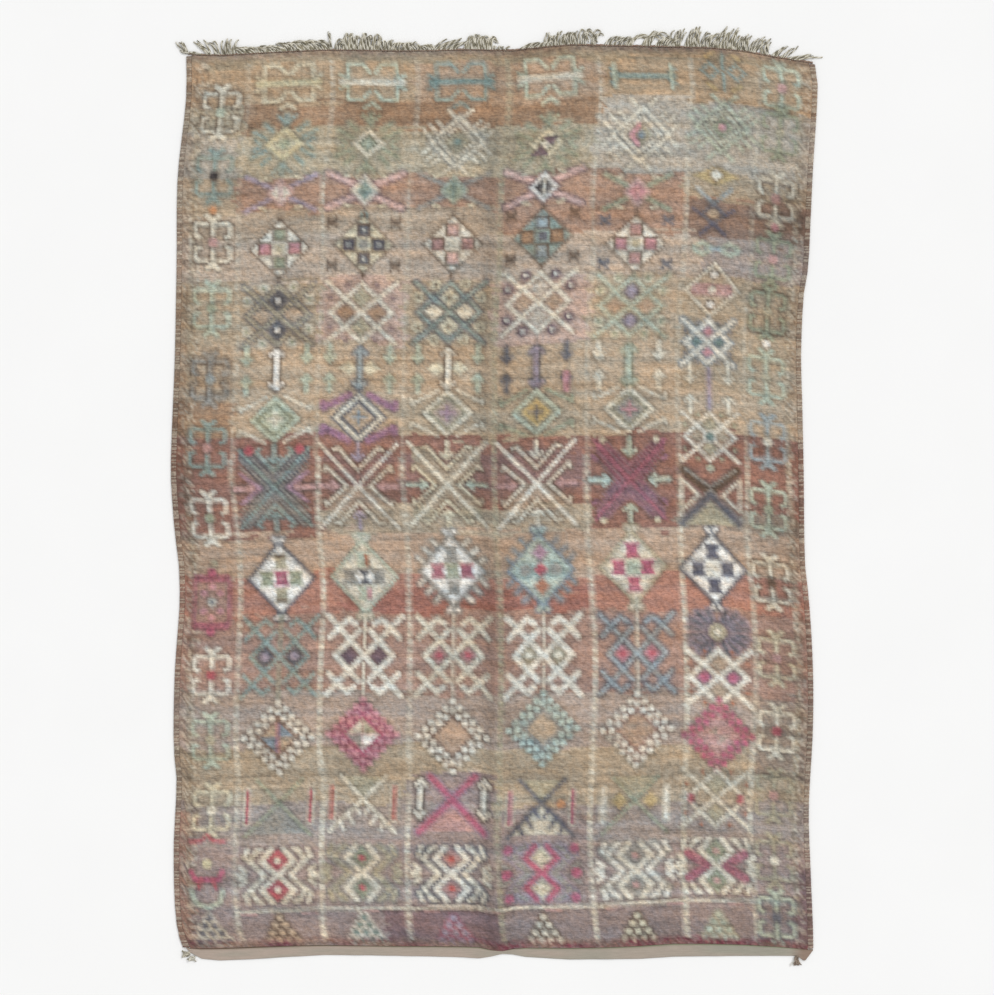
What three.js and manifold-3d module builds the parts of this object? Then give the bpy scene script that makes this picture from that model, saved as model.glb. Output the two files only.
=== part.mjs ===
// Boujaad rug: a hand-knotted wool rug lying flat on the floor, with a knotted pile field,
// a flat woven band at its lower end, a plied warp fringe along its upper end and a small
// knot and tuft of warp ends at the two lower corners.
// Millimetres. X runs across the rug, Y along it towards the fringe, Z up from the floor.
import * as THREE from "three";
import { mergeVertices } from "three/addons/utils/BufferGeometryUtils.js";
import Module from "manifold-3d";

const wasm = await Module();
wasm.setup();

// Driving dimensions
const WIDTH = 1700; // across the pile, between the straight lines the sides wander about
const LENGTH = 2416; // along the pile, between the straight lines the ends wander about
const PILE = 8; // foundation and worn pile together
const SELVEDGE = 6; // thickness of the overcast side cords
const SELVEDGE_WIDTH = 16; // across each side cord
const WEB = 3; // thickness of the flat woven band, which has no pile
const UNEVEN = 0.7; // how much the worn pile rises and falls
const GAP = 0.3; // between pieces that touch

// Spacing of the sheet's columns and rows
const COLUMN_PITCH = 92;
const ROW_PITCH = 58;
const CORNER_REACH = 45; // how far in from the sides the lower corners bend
const STEP_RUN = 2; // run of the step from the pile down to the flat woven band

// Fringe
const STRIP_DEPTH = 7; // strip that the strand roots are fused into
const STRIP_HEIGHT = 4.5;
const STRAND_WIDTH = 3.8;
const STRAND_HEIGHT = 4;
const STRAND_PITCH = 4.7; // from strand to strand inside one tassel
const STRAND_STEPS = 4;
const STRAND_TIP = 0.45; // width at the tip against the width at the root
const BEND_LEAN = 0.3; // where a strand bends, as shares of its tip's lean and reach
const BEND_REACH = 0.6;
const ROOT_SPREAD = 0.3; // how much further apart the roots of a leaning tassel are
const UNEVEN_LENGTH = 0.1; // how much shorter than its neighbour a strand may be

// Rows under named columns become objects
function table(columns, rows) {
  return rows.map((row) => Object.fromEntries(columns.map((name, i) => [name, row[i]])));
}

// How far each side stands out from its straight line, going up the rug
const LEFT_SIDE = table(["along", "out"], [
  [0, -16],
  [62, 6],
  [259, 14],
  [454, 6],
  [545, 14],
  [745, 11],
  [856, 3],
  [934, -2],
  [1026, -1],
  [1123, 11],
  [1223, 19],
  [1288, 22],
  [1396, 19],
  [1593, 11],
  [1855, 6],
  [2087, 3],
  [2303, -20],
  [2416, -20],
]);
const RIGHT_SIDE = table(["along", "out"], [
  [0, 12],
  [40, 12],
  [186, 6],
  [381, 0],
  [597, 11],
  [772, 11],
  [956, 0],
  [1045, -10],
  [1312, -14],
  [1496, -18],
  [1615, -21],
  [1790, -13],
  [1852, -2],
  [1947, 3],
  [2122, 11],
  [2357, 24],
  [2416, 16],
]);

// How far the pile's ends and the band's free edge stand from their straight lines,
// going across from the centre line; band is the visible depth of the flat woven band
const TOP_END = table(["across", "rise"], [
  [-832, -10],
  [-756, -15],
  [-624, -8],
  [-448, 0],
  [-230, -3],
  [-65, 1],
  [60, -1],
  [135, 13],
  [286, 12],
  [529, 7],
  [637, 3],
  [740, -16],
  [823, -29],
  [866, -36],
]);
const LOWER_END = table(["across", "rise", "band"], [
  [-834, -4, 4],
  [-780, -5, 31],
  [-618, 0, 33],
  [-478, 4, 28],
  [-308, 2, 27],
  [-70, 0, 30],
  [-22, -3, 30],
  [5, -14, 8],
  [50, -6, 16],
  [130, -1, 36],
  [225, -4, 31],
  [400, 2, 36],
  [486, 8, 36],
  [650, 6, 32],
  [760, 0, 26],
  [817, -5, 21],
  [848, -8, 38],
  [860, -8, 44],
]);

// Folds left from storage: each is a soft ridge along a straight crease
const FOLDS = table(["fromX", "fromY", "toX", "toY", "height", "reach", "fade"], [
  [8, 0, 8, 2416, 6, 62, 130],
  [-870, 522, 30, 552, 3, 42, 120],
  [20, 552, 870, 540, 2, 40, 160],
  [-870, 458, -120, 462, 2, 34, 160],
  [-520, 1880, 870, 1905, 3, 44, 200],
  [-870, 1290, -600, 1300, 3, 60, 220],
  [560, 905, 870, 930, 3, 60, 220],
]);

// Tassels of the fringe: root on the top end, number of strands, how far the tips stand
// off the end and how far they lean to the right
const TASSELS = table(["root", "strands", "reach", "lean"], [
  [-815, 3, 38, -17],
  [-770, 2, 10, -32],
  [-743, 2, 46, -24],
  [-718, 4, 54, 3],
  [-672, 4, 22, -22],
  [-637, 3, 18, -16],
  [-591, 3, 21, -30],
  [-551, 4, 27, -27],
  [-516, 3, 30, -14],
  [-478, 4, 32, -30],
  [-448, 2, 54, 5],
  [-405, 3, 32, -16],
  [-378, 4, 35, -8],
  [-351, 4, 43, -3],
  [-324, 4, 46, -3],
  [-294, 3, 32, 14],
  [-259, 3, 19, -3],
  [-227, 4, 22, 5],
  [-197, 3, 16, -8],
  [-162, 3, 14, -19],
  [-127, 3, 38, 41],
  [-65, 3, 24, 8],
  [-38, 4, 32, -3],
  [-11, 3, 19, -11],
  [27, 2, 14, 3],
  [70, 2, 9, -16],
  [103, 3, 16, 22],
  [132, 3, 22, 16],
  [162, 4, 27, 8],
  [194, 5, 35, 5],
  [227, 2, 41, 19],
  [265, 2, 38, 27],
  [356, 3, 24, -41],
  [394, 3, 22, -38],
  [435, 3, 32, -30],
  [470, 3, 38, -27],
  [502, 3, 46, 8],
  [535, 4, 54, 14],
  [564, 4, 35, 16],
  [597, 5, 57, 22],
  [632, 4, 46, 24],
  [659, 4, 49, 22],
  [686, 3, 49, 27],
  [734, 3, 54, 5],
  [761, 3, 38, 30],
  [788, 3, 40, 22],
  [818, 2, 11, 56],
]);

// Lumps and short warp ends of the two lower corner knots, from the corner of the pile
const LEFT_KNOT = {
  lumps: table(["x", "y", "length", "width", "height"], [
    [-828, -20.1, 20, 13, 9],
    [-819, -30, 15, 13, 10],
  ]),
  ends: table(["x", "y", "reachX", "reachY"], [
    [-831, -19, -14, 7],
    [-831, -22, -13, -8],
    [-816, -32, 10, -9],
  ]),
};
const RIGHT_TUFT = {
  lumps: table(["x", "y", "length", "width", "height"], [
    [816, -33.6, 12, 14, 8],
  ]),
  ends: table(["x", "y", "reachX", "reachY"], [
    [813, -37, -13, -16],
    [816, -38, -1, -18],
    [820, -38, 10, -14],
  ]),
};

const COLOURS = { wool: 0x9c7d68, warp: 0xb9b3a3, greyWarp: 0x8b8a83, undyed: 0xc9c2b2 };

// A smooth curve through a table's rows, read at one value of its key column
function read(rows, key, column, at) {
  const last = rows.length - 1;
  if (at <= rows[0][key]) return rows[0][column];
  if (at >= rows[last][key]) return rows[last][column];
  const next = rows.findIndex((row) => row[key] > at);
  const [before, a, b, after] = [next - 2, next - 1, next, next + 1].map(
    (i) => rows[Math.min(Math.max(i, 0), last)],
  );
  const span = b[key] - a[key];
  const t = (at - a[key]) / span;
  const slopeA = (b[column] - before[column]) / (b[key] - before[key]);
  const slopeB = (after[column] - a[column]) / (after[key] - a[key]);
  const t2 = t * t;
  const t3 = t2 * t;
  return (
    (2 * t3 - 3 * t2 + 1) * a[column] +
    (t3 - 2 * t2 + t) * span * slopeA +
    (3 * t2 - 2 * t3) * b[column] +
    (t3 - t2) * span * slopeB
  );
}

// How far the folds raise the cloth off the floor at a place on the rug
function liftAt(x, y) {
  let lift = 0;
  for (const fold of FOLDS) {
    const run = new THREE.Vector2(fold.toX - fold.fromX, fold.toY - fold.fromY);
    const place = new THREE.Vector2(x - fold.fromX, y - fold.fromY);
    const length = run.length();
    const along = place.dot(run) / length;
    const away = Math.abs(place.cross(run) / length);
    if (away >= fold.reach) continue;
    const crest = 0.5 + 0.5 * Math.cos((Math.PI * away) / fold.reach);
    const toEnd = Math.min(along, length - along);
    const ends = THREE.MathUtils.smoothstep(toEnd, 0, fold.fade);
    lift = Math.max(lift, fold.height * crest * ends);
  }
  return lift;
}

// Height of the pile's face above the foundation's underside
function pileAt(x, y) {
  const worn = Math.sin(x / 173 + y / 410) + Math.sin(y / 131 - x / 590);
  return PILE + (UNEVEN * worn) / 2;
}

// Distances across or along, evenly spaced, with extra lines where the shape needs them
function stations(from, to, pitch, extra) {
  const count = Math.round((to - from) / pitch);
  const even = Array.from({ length: count + 1 }, (_, i) => from + ((to - from) * i) / count);
  const clear = pitch * 0.35;
  const kept = even.filter((at) => extra.every((line) => Math.abs(line - at) > clear));
  return [...kept, ...extra].sort((a, b) => a - b);
}

const HALF = WIDTH / 2;
const CREASE = FOLDS[0].fromX;
const CREASE_REACH = FOLDS[0].reach;
const COLUMNS = stations(-HALF, HALF, COLUMN_PITCH, [
  -HALF,
  -HALF + SELVEDGE_WIDTH / 3,
  -HALF + SELVEDGE_WIDTH,
  -HALF + CORNER_REACH,
  CREASE - CREASE_REACH,
  CREASE - CREASE_REACH / 2,
  CREASE,
  CREASE + CREASE_REACH / 2,
  CREASE + CREASE_REACH,
  HALF - CORNER_REACH,
  HALF - SELVEDGE_WIDTH,
  HALF - SELVEDGE_WIDTH / 3,
  HALF,
]);
const ROWS = stations(0, LENGTH, ROW_PITCH, [0, 12, LENGTH - 10, LENGTH]);

// Place on the rug of a nominal column and row, wandering with the sides and ends
function placeOf(column, row) {
  const left = -HALF - read(LEFT_SIDE, "along", "out", row);
  const right = HALF + read(RIGHT_SIDE, "along", "out", row);
  const x = left + ((column + HALF) / WIDTH) * (right - left);
  const share = row / LENGTH;
  const top = read(TOP_END, "across", "rise", x);
  const lower = read(LOWER_END, "across", "rise", x);
  return { x, y: row + top * share + lower * (1 - share) };
}

// Thickness of the sheet across one row: full pile between two lower, rounded side cords
function thicknessAt(column, full) {
  const inside = HALF - Math.abs(column);
  if (inside <= 0) return SELVEDGE / 2;
  if (inside < SELVEDGE_WIDTH) return Math.min(SELVEDGE, full);
  return full;
}

// One line of the sheet: floor side and face side, at every column
function pileLine(row) {
  return COLUMNS.map((column) => {
    const { x, y } = placeOf(column, row);
    const floor = liftAt(x, y);
    const isEnd = row === 0 || row === LENGTH;
    const full = isEnd ? SELVEDGE : pileAt(x, y);
    return { x, y, floor, face: floor + thicknessAt(column, full) };
  });
}

// A line of the flat woven band, below the pile's lower end
function bandLine(depthShare) {
  return COLUMNS.map((column) => {
    const { x, y } = placeOf(column, 0);
    const depth = read(LOWER_END, "across", "band", x);
    const away = STEP_RUN + (depth - STEP_RUN) * depthShare;
    const floor = liftAt(x, y);
    return { x, y: y - away, floor, face: floor + thicknessAt(column, WEB) };
  });
}

// A closed shape between the floor sides and face sides of a stack of lines
function sheet(lines) {
  const wide = lines[0].length;
  const positions = [];
  const faces = [];
  for (const side of ["floor", "face"]) {
    for (const line of lines) {
      for (const point of line) positions.push(point.x, point.y, point[side]);
    }
  }
  const layer = lines.length * wide;
  const at = (row, column) => row * wide + column;
  for (let row = 0; row + 1 < lines.length; row += 1) {
    for (let column = 0; column + 1 < wide; column += 1) {
      const [a, b] = [at(row, column), at(row, column + 1)];
      const [c, d] = [at(row + 1, column + 1), at(row + 1, column)];
      faces.push(a, c, b, a, d, c);
      faces.push(layer + a, layer + b, layer + c, layer + a, layer + c, layer + d);
    }
  }
  const wall = (a, b) => faces.push(a, b, layer + b, a, layer + b, layer + a);
  const top = lines.length - 1;
  for (let column = 0; column + 1 < wide; column += 1) {
    wall(at(0, column), at(0, column + 1));
    wall(at(top, column + 1), at(top, column));
  }
  for (let row = 0; row < top; row += 1) {
    wall(at(row + 1, 0), at(row, 0));
    wall(at(row, wide - 1), at(row + 1, wide - 1));
  }
  const geometry = new THREE.BufferGeometry();
  geometry.setAttribute("position", new THREE.Float32BufferAttribute(positions, 3));
  geometry.setIndex(faces);
  return geometry;
}

// A strand of three sides, flat on the floor, along a bent path; a short one stops early
function strand(root, bend, tip, length = 1) {
  const path = new THREE.QuadraticBezierCurve(root, bend, tip);
  const positions = [];
  const faces = [];
  for (let step = 0; step <= STRAND_STEPS; step += 1) {
    const share = step / STRAND_STEPS;
    const centre = path.getPoint(share * length);
    const ahead = path.getTangent(share * length);
    const size = 1 + (STRAND_TIP - 1) * share ** 2;
    const half = (STRAND_WIDTH * size) / 2;
    positions.push(centre.x - ahead.y * half, centre.y + ahead.x * half, 0);
    positions.push(centre.x + ahead.y * half, centre.y - ahead.x * half, 0);
    positions.push(centre.x, centre.y, STRAND_HEIGHT * size);
    if (!step) continue;
    const [now, was] = [step * 3, step * 3 - 3];
    for (let side = 0; side < 3; side += 1) {
      const turn = (side + 1) % 3;
      faces.push(was + side, now + turn, was + turn, was + side, now + side, now + turn);
    }
  }
  const end = STRAND_STEPS * 3;
  faces.push(0, 1, 2, end, end + 2, end + 1);
  const geometry = new THREE.BufferGeometry();
  geometry.setAttribute("position", new THREE.Float32BufferAttribute(positions, 3));
  geometry.setIndex(faces);
  return geometry;
}

// A geometry as a solid for joining, and one joined solid back as a geometry
function solidOf(geometry) {
  const bare = geometry.clone();
  bare.deleteAttribute("normal");
  bare.deleteAttribute("uv");
  const merged = mergeVertices(bare, 1e-4);
  const vertProperties = new Float32Array(merged.getAttribute("position").array);
  const triVerts = new Uint32Array(merged.index.array);
  return new wasm.Manifold(new wasm.Mesh({ numProp: 3, vertProperties, triVerts }));
}

function joined(geometries) {
  const whole = geometries.map(solidOf).reduce((sum, solid) => sum.add(solid));
  const { vertProperties, triVerts } = whole.getMesh();
  const geometry = new THREE.BufferGeometry();
  geometry.setAttribute("position", new THREE.BufferAttribute(vertProperties, 3));
  geometry.setIndex(new THREE.BufferAttribute(triVerts, 1));
  return geometry;
}

// The knotted rug with its flat woven lower band
const pileLines = ROWS.map(pileLine);
const bandLines = [bandLine(1), bandLine(0.5), bandLine(0)];
const rugGeometry = sheet([...bandLines, ...pileLines]);

// The strip along the top end, parted from the pile by the gap
const topEdge = pileLines[pileLines.length - 1];
function stripGeometry() {
  const stripLine = (away) =>
    topEdge.slice(1, -1).map(({ x, y }) => ({ x, y: y + away, floor: 0, face: STRIP_HEIGHT }));
  return sheet([stripLine(GAP), stripLine(GAP + STRIP_DEPTH)]);
}

// Where the middle of the strip runs, between the straight stretches of the top end
function stripAt(x) {
  const next = Math.max(topEdge.findIndex((point) => point.x > x), 1);
  const [a, b] = [topEdge[next - 1], topEdge[next]];
  return a.y + ((b.y - a.y) * (x - a.x)) / (b.x - a.x) + GAP + STRIP_DEPTH / 2;
}

// The strands of one tassel, side by side and bending over together
function tasselStrands({ root, strands, reach, lean }) {
  const made = [];
  const sideways = (x, y) => new THREE.Vector2(y, -x).normalize();
  const bend = new THREE.Vector2(lean * BEND_LEAN, reach * BEND_REACH);
  const tip = new THREE.Vector2(lean, reach);
  const bendSide = sideways(lean, reach);
  const tipSide = sideways(tip.x - bend.x, tip.y - bend.y);
  const rootSpread = 1 + (ROOT_SPREAD * Math.abs(lean)) / reach;
  for (let i = 0; i < strands; i += 1) {
    const offset = (i - (strands - 1) / 2) * STRAND_PITCH;
    const x = root + offset * rootSpread;
    const from = new THREE.Vector2(x, stripAt(x));
    const middle = new THREE.Vector2(root, stripAt(root));
    const over = middle.clone().add(bend).addScaledVector(bendSide, offset);
    const to = middle.clone().add(tip).addScaledVector(tipSide, offset);
    const length = 1 - UNEVEN_LENGTH * ((i * 7) % 3);
    made.push(strand(from, over, to, length));
  }
  return made;
}

// A corner knot: lumps of tied warp with a few short ends, standing on the floor
function knotGeometry({ lumps, ends }) {
  const shapes = lumps.map(({ x, y, length, width, height }) => {
    const lump = new THREE.SphereGeometry(0.5, 10, 8);
    lump.scale(length, width, height);
    return lump.translate(x, y, height / 2);
  });
  for (const { x, y, reachX, reachY } of ends) {
    const from = new THREE.Vector2(x, y);
    const tip = new THREE.Vector2(x + reachX, y + reachY);
    const bend = new THREE.Vector2(x + reachX * BEND_REACH, y + reachY * BEND_LEAN);
    shapes.push(strand(from, bend, tip));
  }
  return joined(shapes);
}

// A named piece of cloth or yarn
function piece(name, geometry, colour) {
  geometry.computeVertexNormals();
  const material = new THREE.MeshStandardMaterial({
    color: colour,
    roughness: 0.95,
    metalness: 0,
  });
  const mesh = new THREE.Mesh(geometry, material);
  mesh.name = name;
  return mesh;
}

const rug = new THREE.Group();
rug.add(
  piece("rug", rugGeometry, COLOURS.wool),
  piece("fringe", joined([stripGeometry(), ...TASSELS.flatMap(tasselStrands)]), COLOURS.warp),
  piece("corner_knot_left", knotGeometry(LEFT_KNOT), COLOURS.greyWarp),
  piece("corner_tuft_right", knotGeometry(RIGHT_TUFT), COLOURS.undyed),
);

// The origin is on the floor under the middle of the whole outline
const outline = new THREE.Box3().setFromObject(rug);
const middle = outline.getCenter(new THREE.Vector3());
rug.position.set(-middle.x, -middle.y, 0);

export default rug;
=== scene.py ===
"""A worn boujaad rug, hand-knotted in wool, lying flat on a pale floor.

Metres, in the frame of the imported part: X across the rug, Y along it towards the fringe,
Z up from the floor. The pile is drawn knot by knot on a chart, as a weaver counts it."""

import math

import bpy
import numpy as np
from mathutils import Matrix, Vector
from mathutils.bvhtree import BVHTree


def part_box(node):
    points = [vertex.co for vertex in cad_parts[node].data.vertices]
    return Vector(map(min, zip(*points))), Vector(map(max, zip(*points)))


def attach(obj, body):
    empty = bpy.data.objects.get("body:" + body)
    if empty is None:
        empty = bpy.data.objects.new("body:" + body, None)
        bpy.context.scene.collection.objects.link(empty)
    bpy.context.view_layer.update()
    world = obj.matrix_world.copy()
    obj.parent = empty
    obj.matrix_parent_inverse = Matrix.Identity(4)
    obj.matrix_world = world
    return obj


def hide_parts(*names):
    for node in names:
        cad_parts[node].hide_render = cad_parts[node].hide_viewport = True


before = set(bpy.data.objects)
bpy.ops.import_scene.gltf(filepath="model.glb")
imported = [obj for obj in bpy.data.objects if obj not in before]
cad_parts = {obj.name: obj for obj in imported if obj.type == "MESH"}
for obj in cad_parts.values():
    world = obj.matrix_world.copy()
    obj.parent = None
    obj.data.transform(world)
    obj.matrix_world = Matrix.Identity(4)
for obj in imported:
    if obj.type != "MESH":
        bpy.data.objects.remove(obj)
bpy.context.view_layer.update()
bpy.ops.object.select_all(action="DESELECT")

# Driving dimensions
KNOTS_ACROSS = 230  # from edge to edge, side cords included
KNOTS_ALONG = 330
CORD_KNOTS = 2  # width of a side cord, in knots
FOUNDATION = 0.0022  # thickness of warp and weft under the pile
BAND_THICK = 0.0026  # thickness of the flat woven band
MOTIF_RISE = 0.0007  # how much the motifs' wool stands above the worn ground
KNOT_RISE = 0.0004  # how unevenly single knots stand
KNOT_STRAY = 0.12  # how far a knot strays from its place, in knots
CAST_HEIGHT = 0.0015  # height at which the outline of the cloth is read
STEP_HEIGHT = 0.0045  # height at which the pile's lower edge is read
BODY = "root"

# Wools, as they look in daylight, from 0 to 255
WOOLS = {
    "ecru": (214, 207, 188),
    "pale": (222, 217, 202),
    "white": (234, 231, 223),
    "cream": (209, 200, 173),
    "straw": (197, 186, 150),
    "mint": (178, 187, 168),
    "sage": (152, 157, 134),
    "moss": (132, 138, 112),
    "khaki": (171, 163, 139),
    "teal": (116, 134, 127),
    "sea": (140, 157, 150),
    "aqua": (178, 194, 184),
    "sky": (157, 168, 170),
    "blue": (130, 142, 150),
    "slate": (104, 104, 110),
    "grey": (150, 146, 138),
    "navy": (88, 88, 102),
    "plum": (112, 92, 100),
    "purple": (150, 110, 130),
    "lilac": (160, 146, 158),
    "mauve": (164, 132, 148),
    "pink": (196, 142, 148),
    "rose": (186, 146, 140),
    "blush": (207, 174, 166),
    "magenta": (178, 96, 118),
    "berry": (160, 98, 110),
    "crimson": (176, 90, 98),
    "red": (178, 86, 78),
    "rust": (164, 106, 80),
    "orange": (196, 140, 98),
    "mustard": (186, 162, 116),
    "gold": (196, 168, 112),
    "wine": (126, 60, 74),
    "umber": (104, 84, 68),
    "dark": (92, 78, 70),
    "black": (66, 58, 58),
    # Grounds, from the fringe down
    "pile_edge": (162, 146, 122),
    "apricot": (178, 153, 124),
    "brown_apricot": (160, 130, 104),
    "field_khaki": (179, 167, 144),
    "field_sage": (181, 172, 158),
    "terracotta": (170, 138, 118),
    "terracotta_tan": (174, 148, 124),
    "rose_tan": (176, 157, 136),
    "grey_mauve": (185, 167, 149),
    "umber_rose": (143, 118, 103),
    "khaki_tan": (175, 157, 133),
    "rose_field": (188, 162, 148),
    "peach": (184, 163, 138),
    "peach_light": (186, 165, 140),
    "deep_red": (150, 110, 96),
    "burgundy": (140, 108, 102),
    "olive": (176, 160, 138),
    "peach_tan": (184, 158, 136),
    "brick": (174, 126, 109),
    "rose_brown": (170, 137, 122),
    "brick_deep": (162, 110, 96),
    "taupe": (170, 152, 139),
    "umber_taupe": (154, 137, 122),
    "taupe_rose": (158, 140, 134),
    "mauve_grey": (161, 148, 140),
    "low_mauve": (147, 131, 127),
    "wine_mauve": (132, 108, 109),
    "border_brown": (148, 128, 112),
    "band_pink": (178, 162, 149),
    "band_green": (160, 156, 142),
}

# Chart of the pile: a place at each corner between knots, row 0 at the fringe
rng = np.random.default_rng(57)


def linear(wool):
    """The wool's colour in linear light, as the renderer counts it."""
    share = np.array(WOOLS[wool]) / 255
    return np.where(share <= 0.04045, share / 12.92, ((share + 0.055) / 1.055) ** 2.4)


def smooth_noise(rows, columns, row_step, column_step, seed):
    """Soft random numbers from -1 to 1, which change over a given number of steps."""
    draw = np.random.default_rng(seed)
    coarse_rows = int(rows / row_step) + 3
    coarse_columns = int(columns / column_step) + 3
    coarse = draw.uniform(-1, 1, (coarse_rows, coarse_columns))
    at_row = np.linspace(0.0, rows / row_step, rows)
    at_column = np.linspace(0.0, columns / column_step, columns)
    low_row = at_row.astype(int)
    low_column = at_column.astype(int)
    row_part = at_row - low_row
    column_part = at_column - low_column
    row_part = (row_part * row_part * (3 - 2 * row_part))[:, None]
    column_part = (column_part * column_part * (3 - 2 * column_part))[None, :]

    def along_row(line):
        """A coarse row, blended from column to column."""
        left = coarse[line][:, low_column] * (1 - column_part)
        return left + coarse[line][:, low_column + 1] * column_part

    return along_row(low_row) * (1 - row_part) + along_row(low_row + 1) * row_part


CHART_ROWS, CHART_COLUMNS = KNOTS_ALONG + 1, KNOTS_ACROSS + 1
chart = np.zeros((CHART_ROWS, CHART_COLUMNS, 3))
chart_rise = np.zeros((CHART_ROWS, CHART_COLUMNS))
row_index, column_index = np.mgrid[0:CHART_ROWS, 0:CHART_COLUMNS]


def blotches(row_step, column_step, seed):
    """Soft blotches from -1 to 1 over the chart, of a given size in knots."""
    return smooth_noise(CHART_ROWS, CHART_COLUMNS, row_step, column_step, seed)


# Ground wool: first row, last row, first column, last column, wool
GROUNDS = [
    (0, 330, 0, 230, "apricot"),
    (0, 4, 0, 230, "pile_edge"),
    (4, 19, 84, 151, "terracotta_tan"),
    (19, 28, 22, 151, "brown_apricot"),
    (19, 29, 0, 22, "field_khaki"),
    (28, 46, 0, 230, "field_khaki"),
    (29, 46, 0, 22, "field_sage"),
    (19, 47, 151, 230, "field_sage"),
    (46, 58, 22, 184, "terracotta"),
    (46, 58, 0, 22, "olive"),
    (46, 56, 184, 230, "khaki_tan"),
    (58, 68, 0, 184, "rose_tan"),
    (55, 68, 117, 230, "terracotta"),
    (56, 69, 184, 230, "umber_rose"),
    (68, 84, 0, 190, "grey_mauve"),
    (69, 84, 190, 230, "mauve_grey"),
    (84, 109, 0, 117, "khaki_tan"),
    (84, 109, 53, 84, "rose_field"),
    (84, 109, 117, 151, "rose_field"),
    (84, 109, 151, 184, "peach"),
    (84, 109, 184, 230, "khaki_tan"),
    (108, 127, 0, 230, "peach_light"),
    (108, 127, 184, 230, "khaki_tan"),
    (126, 143, 0, 230, "peach"),
    (127, 143, 84, 151, "khaki_tan"),
    (129, 144, 0, 22, "brown_apricot"),
    (142, 177, 0, 230, "deep_red"),
    (148, 160, 84, 151, "burgundy"),
    (168, 178, 53, 151, "olive"),
    (171, 178, 184, 230, "umber_taupe"),
    (177, 194, 0, 230, "peach_tan"),
    (171, 178, 0, 52, "deep_red"),
    (193, 207, 0, 230, "brick"),
    (199, 207, 60, 151, "brick_deep"),
    (207, 238, 0, 230, "rose_brown"),
    (237, 256, 0, 230, "taupe"),
    (256, 267, 0, 230, "khaki_tan"),
    (244, 267, 209, 230, "umber_taupe"),
    (266, 278, 0, 230, "olive"),
    (267, 292, 84, 117, "taupe_rose"),
    (277, 293, 0, 230, "mauve_grey"),
    (281, 293, 84, 151, "taupe_rose"),
    (292, 317, 0, 230, "taupe_rose"),
    (316, 330, 0, 230, "low_mauve"),
    (280, 330, 0, 6, "rose_brown"),
    (300, 330, 225, 230, "wine_mauve"),
    (316, 330, 76, 117, "wine_mauve"),
]
ground_wander = blotches(1.4, 17, 21) * 2.2
ground_wander += blotches(3.0, 5, 22) * 0.9
side_wander = blotches(1.6, 9, 23) * 3.0
wandering_row = row_index + ground_wander
wandering_column = column_index + side_wander
for first_row, last_row, first_column, last_column, wool in GROUNDS:
    inside = (wandering_row >= first_row) | (first_row == 0)
    inside &= (wandering_row < last_row) | (last_row == KNOTS_ALONG)
    inside &= (wandering_column >= first_column) | (first_column == 0)
    inside &= (wandering_column < last_column) | (last_column == KNOTS_ACROSS)
    chart[inside] = linear(wool)

# How much of a motif's own wool still shows, from 0 to 1
wear = 0.96 + blotches(4, 5, 31) * 0.07
wear += blotches(1.3, 1.6, 32) * 0.08
wear = np.clip(wear, 0.0, 1.0)


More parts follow.
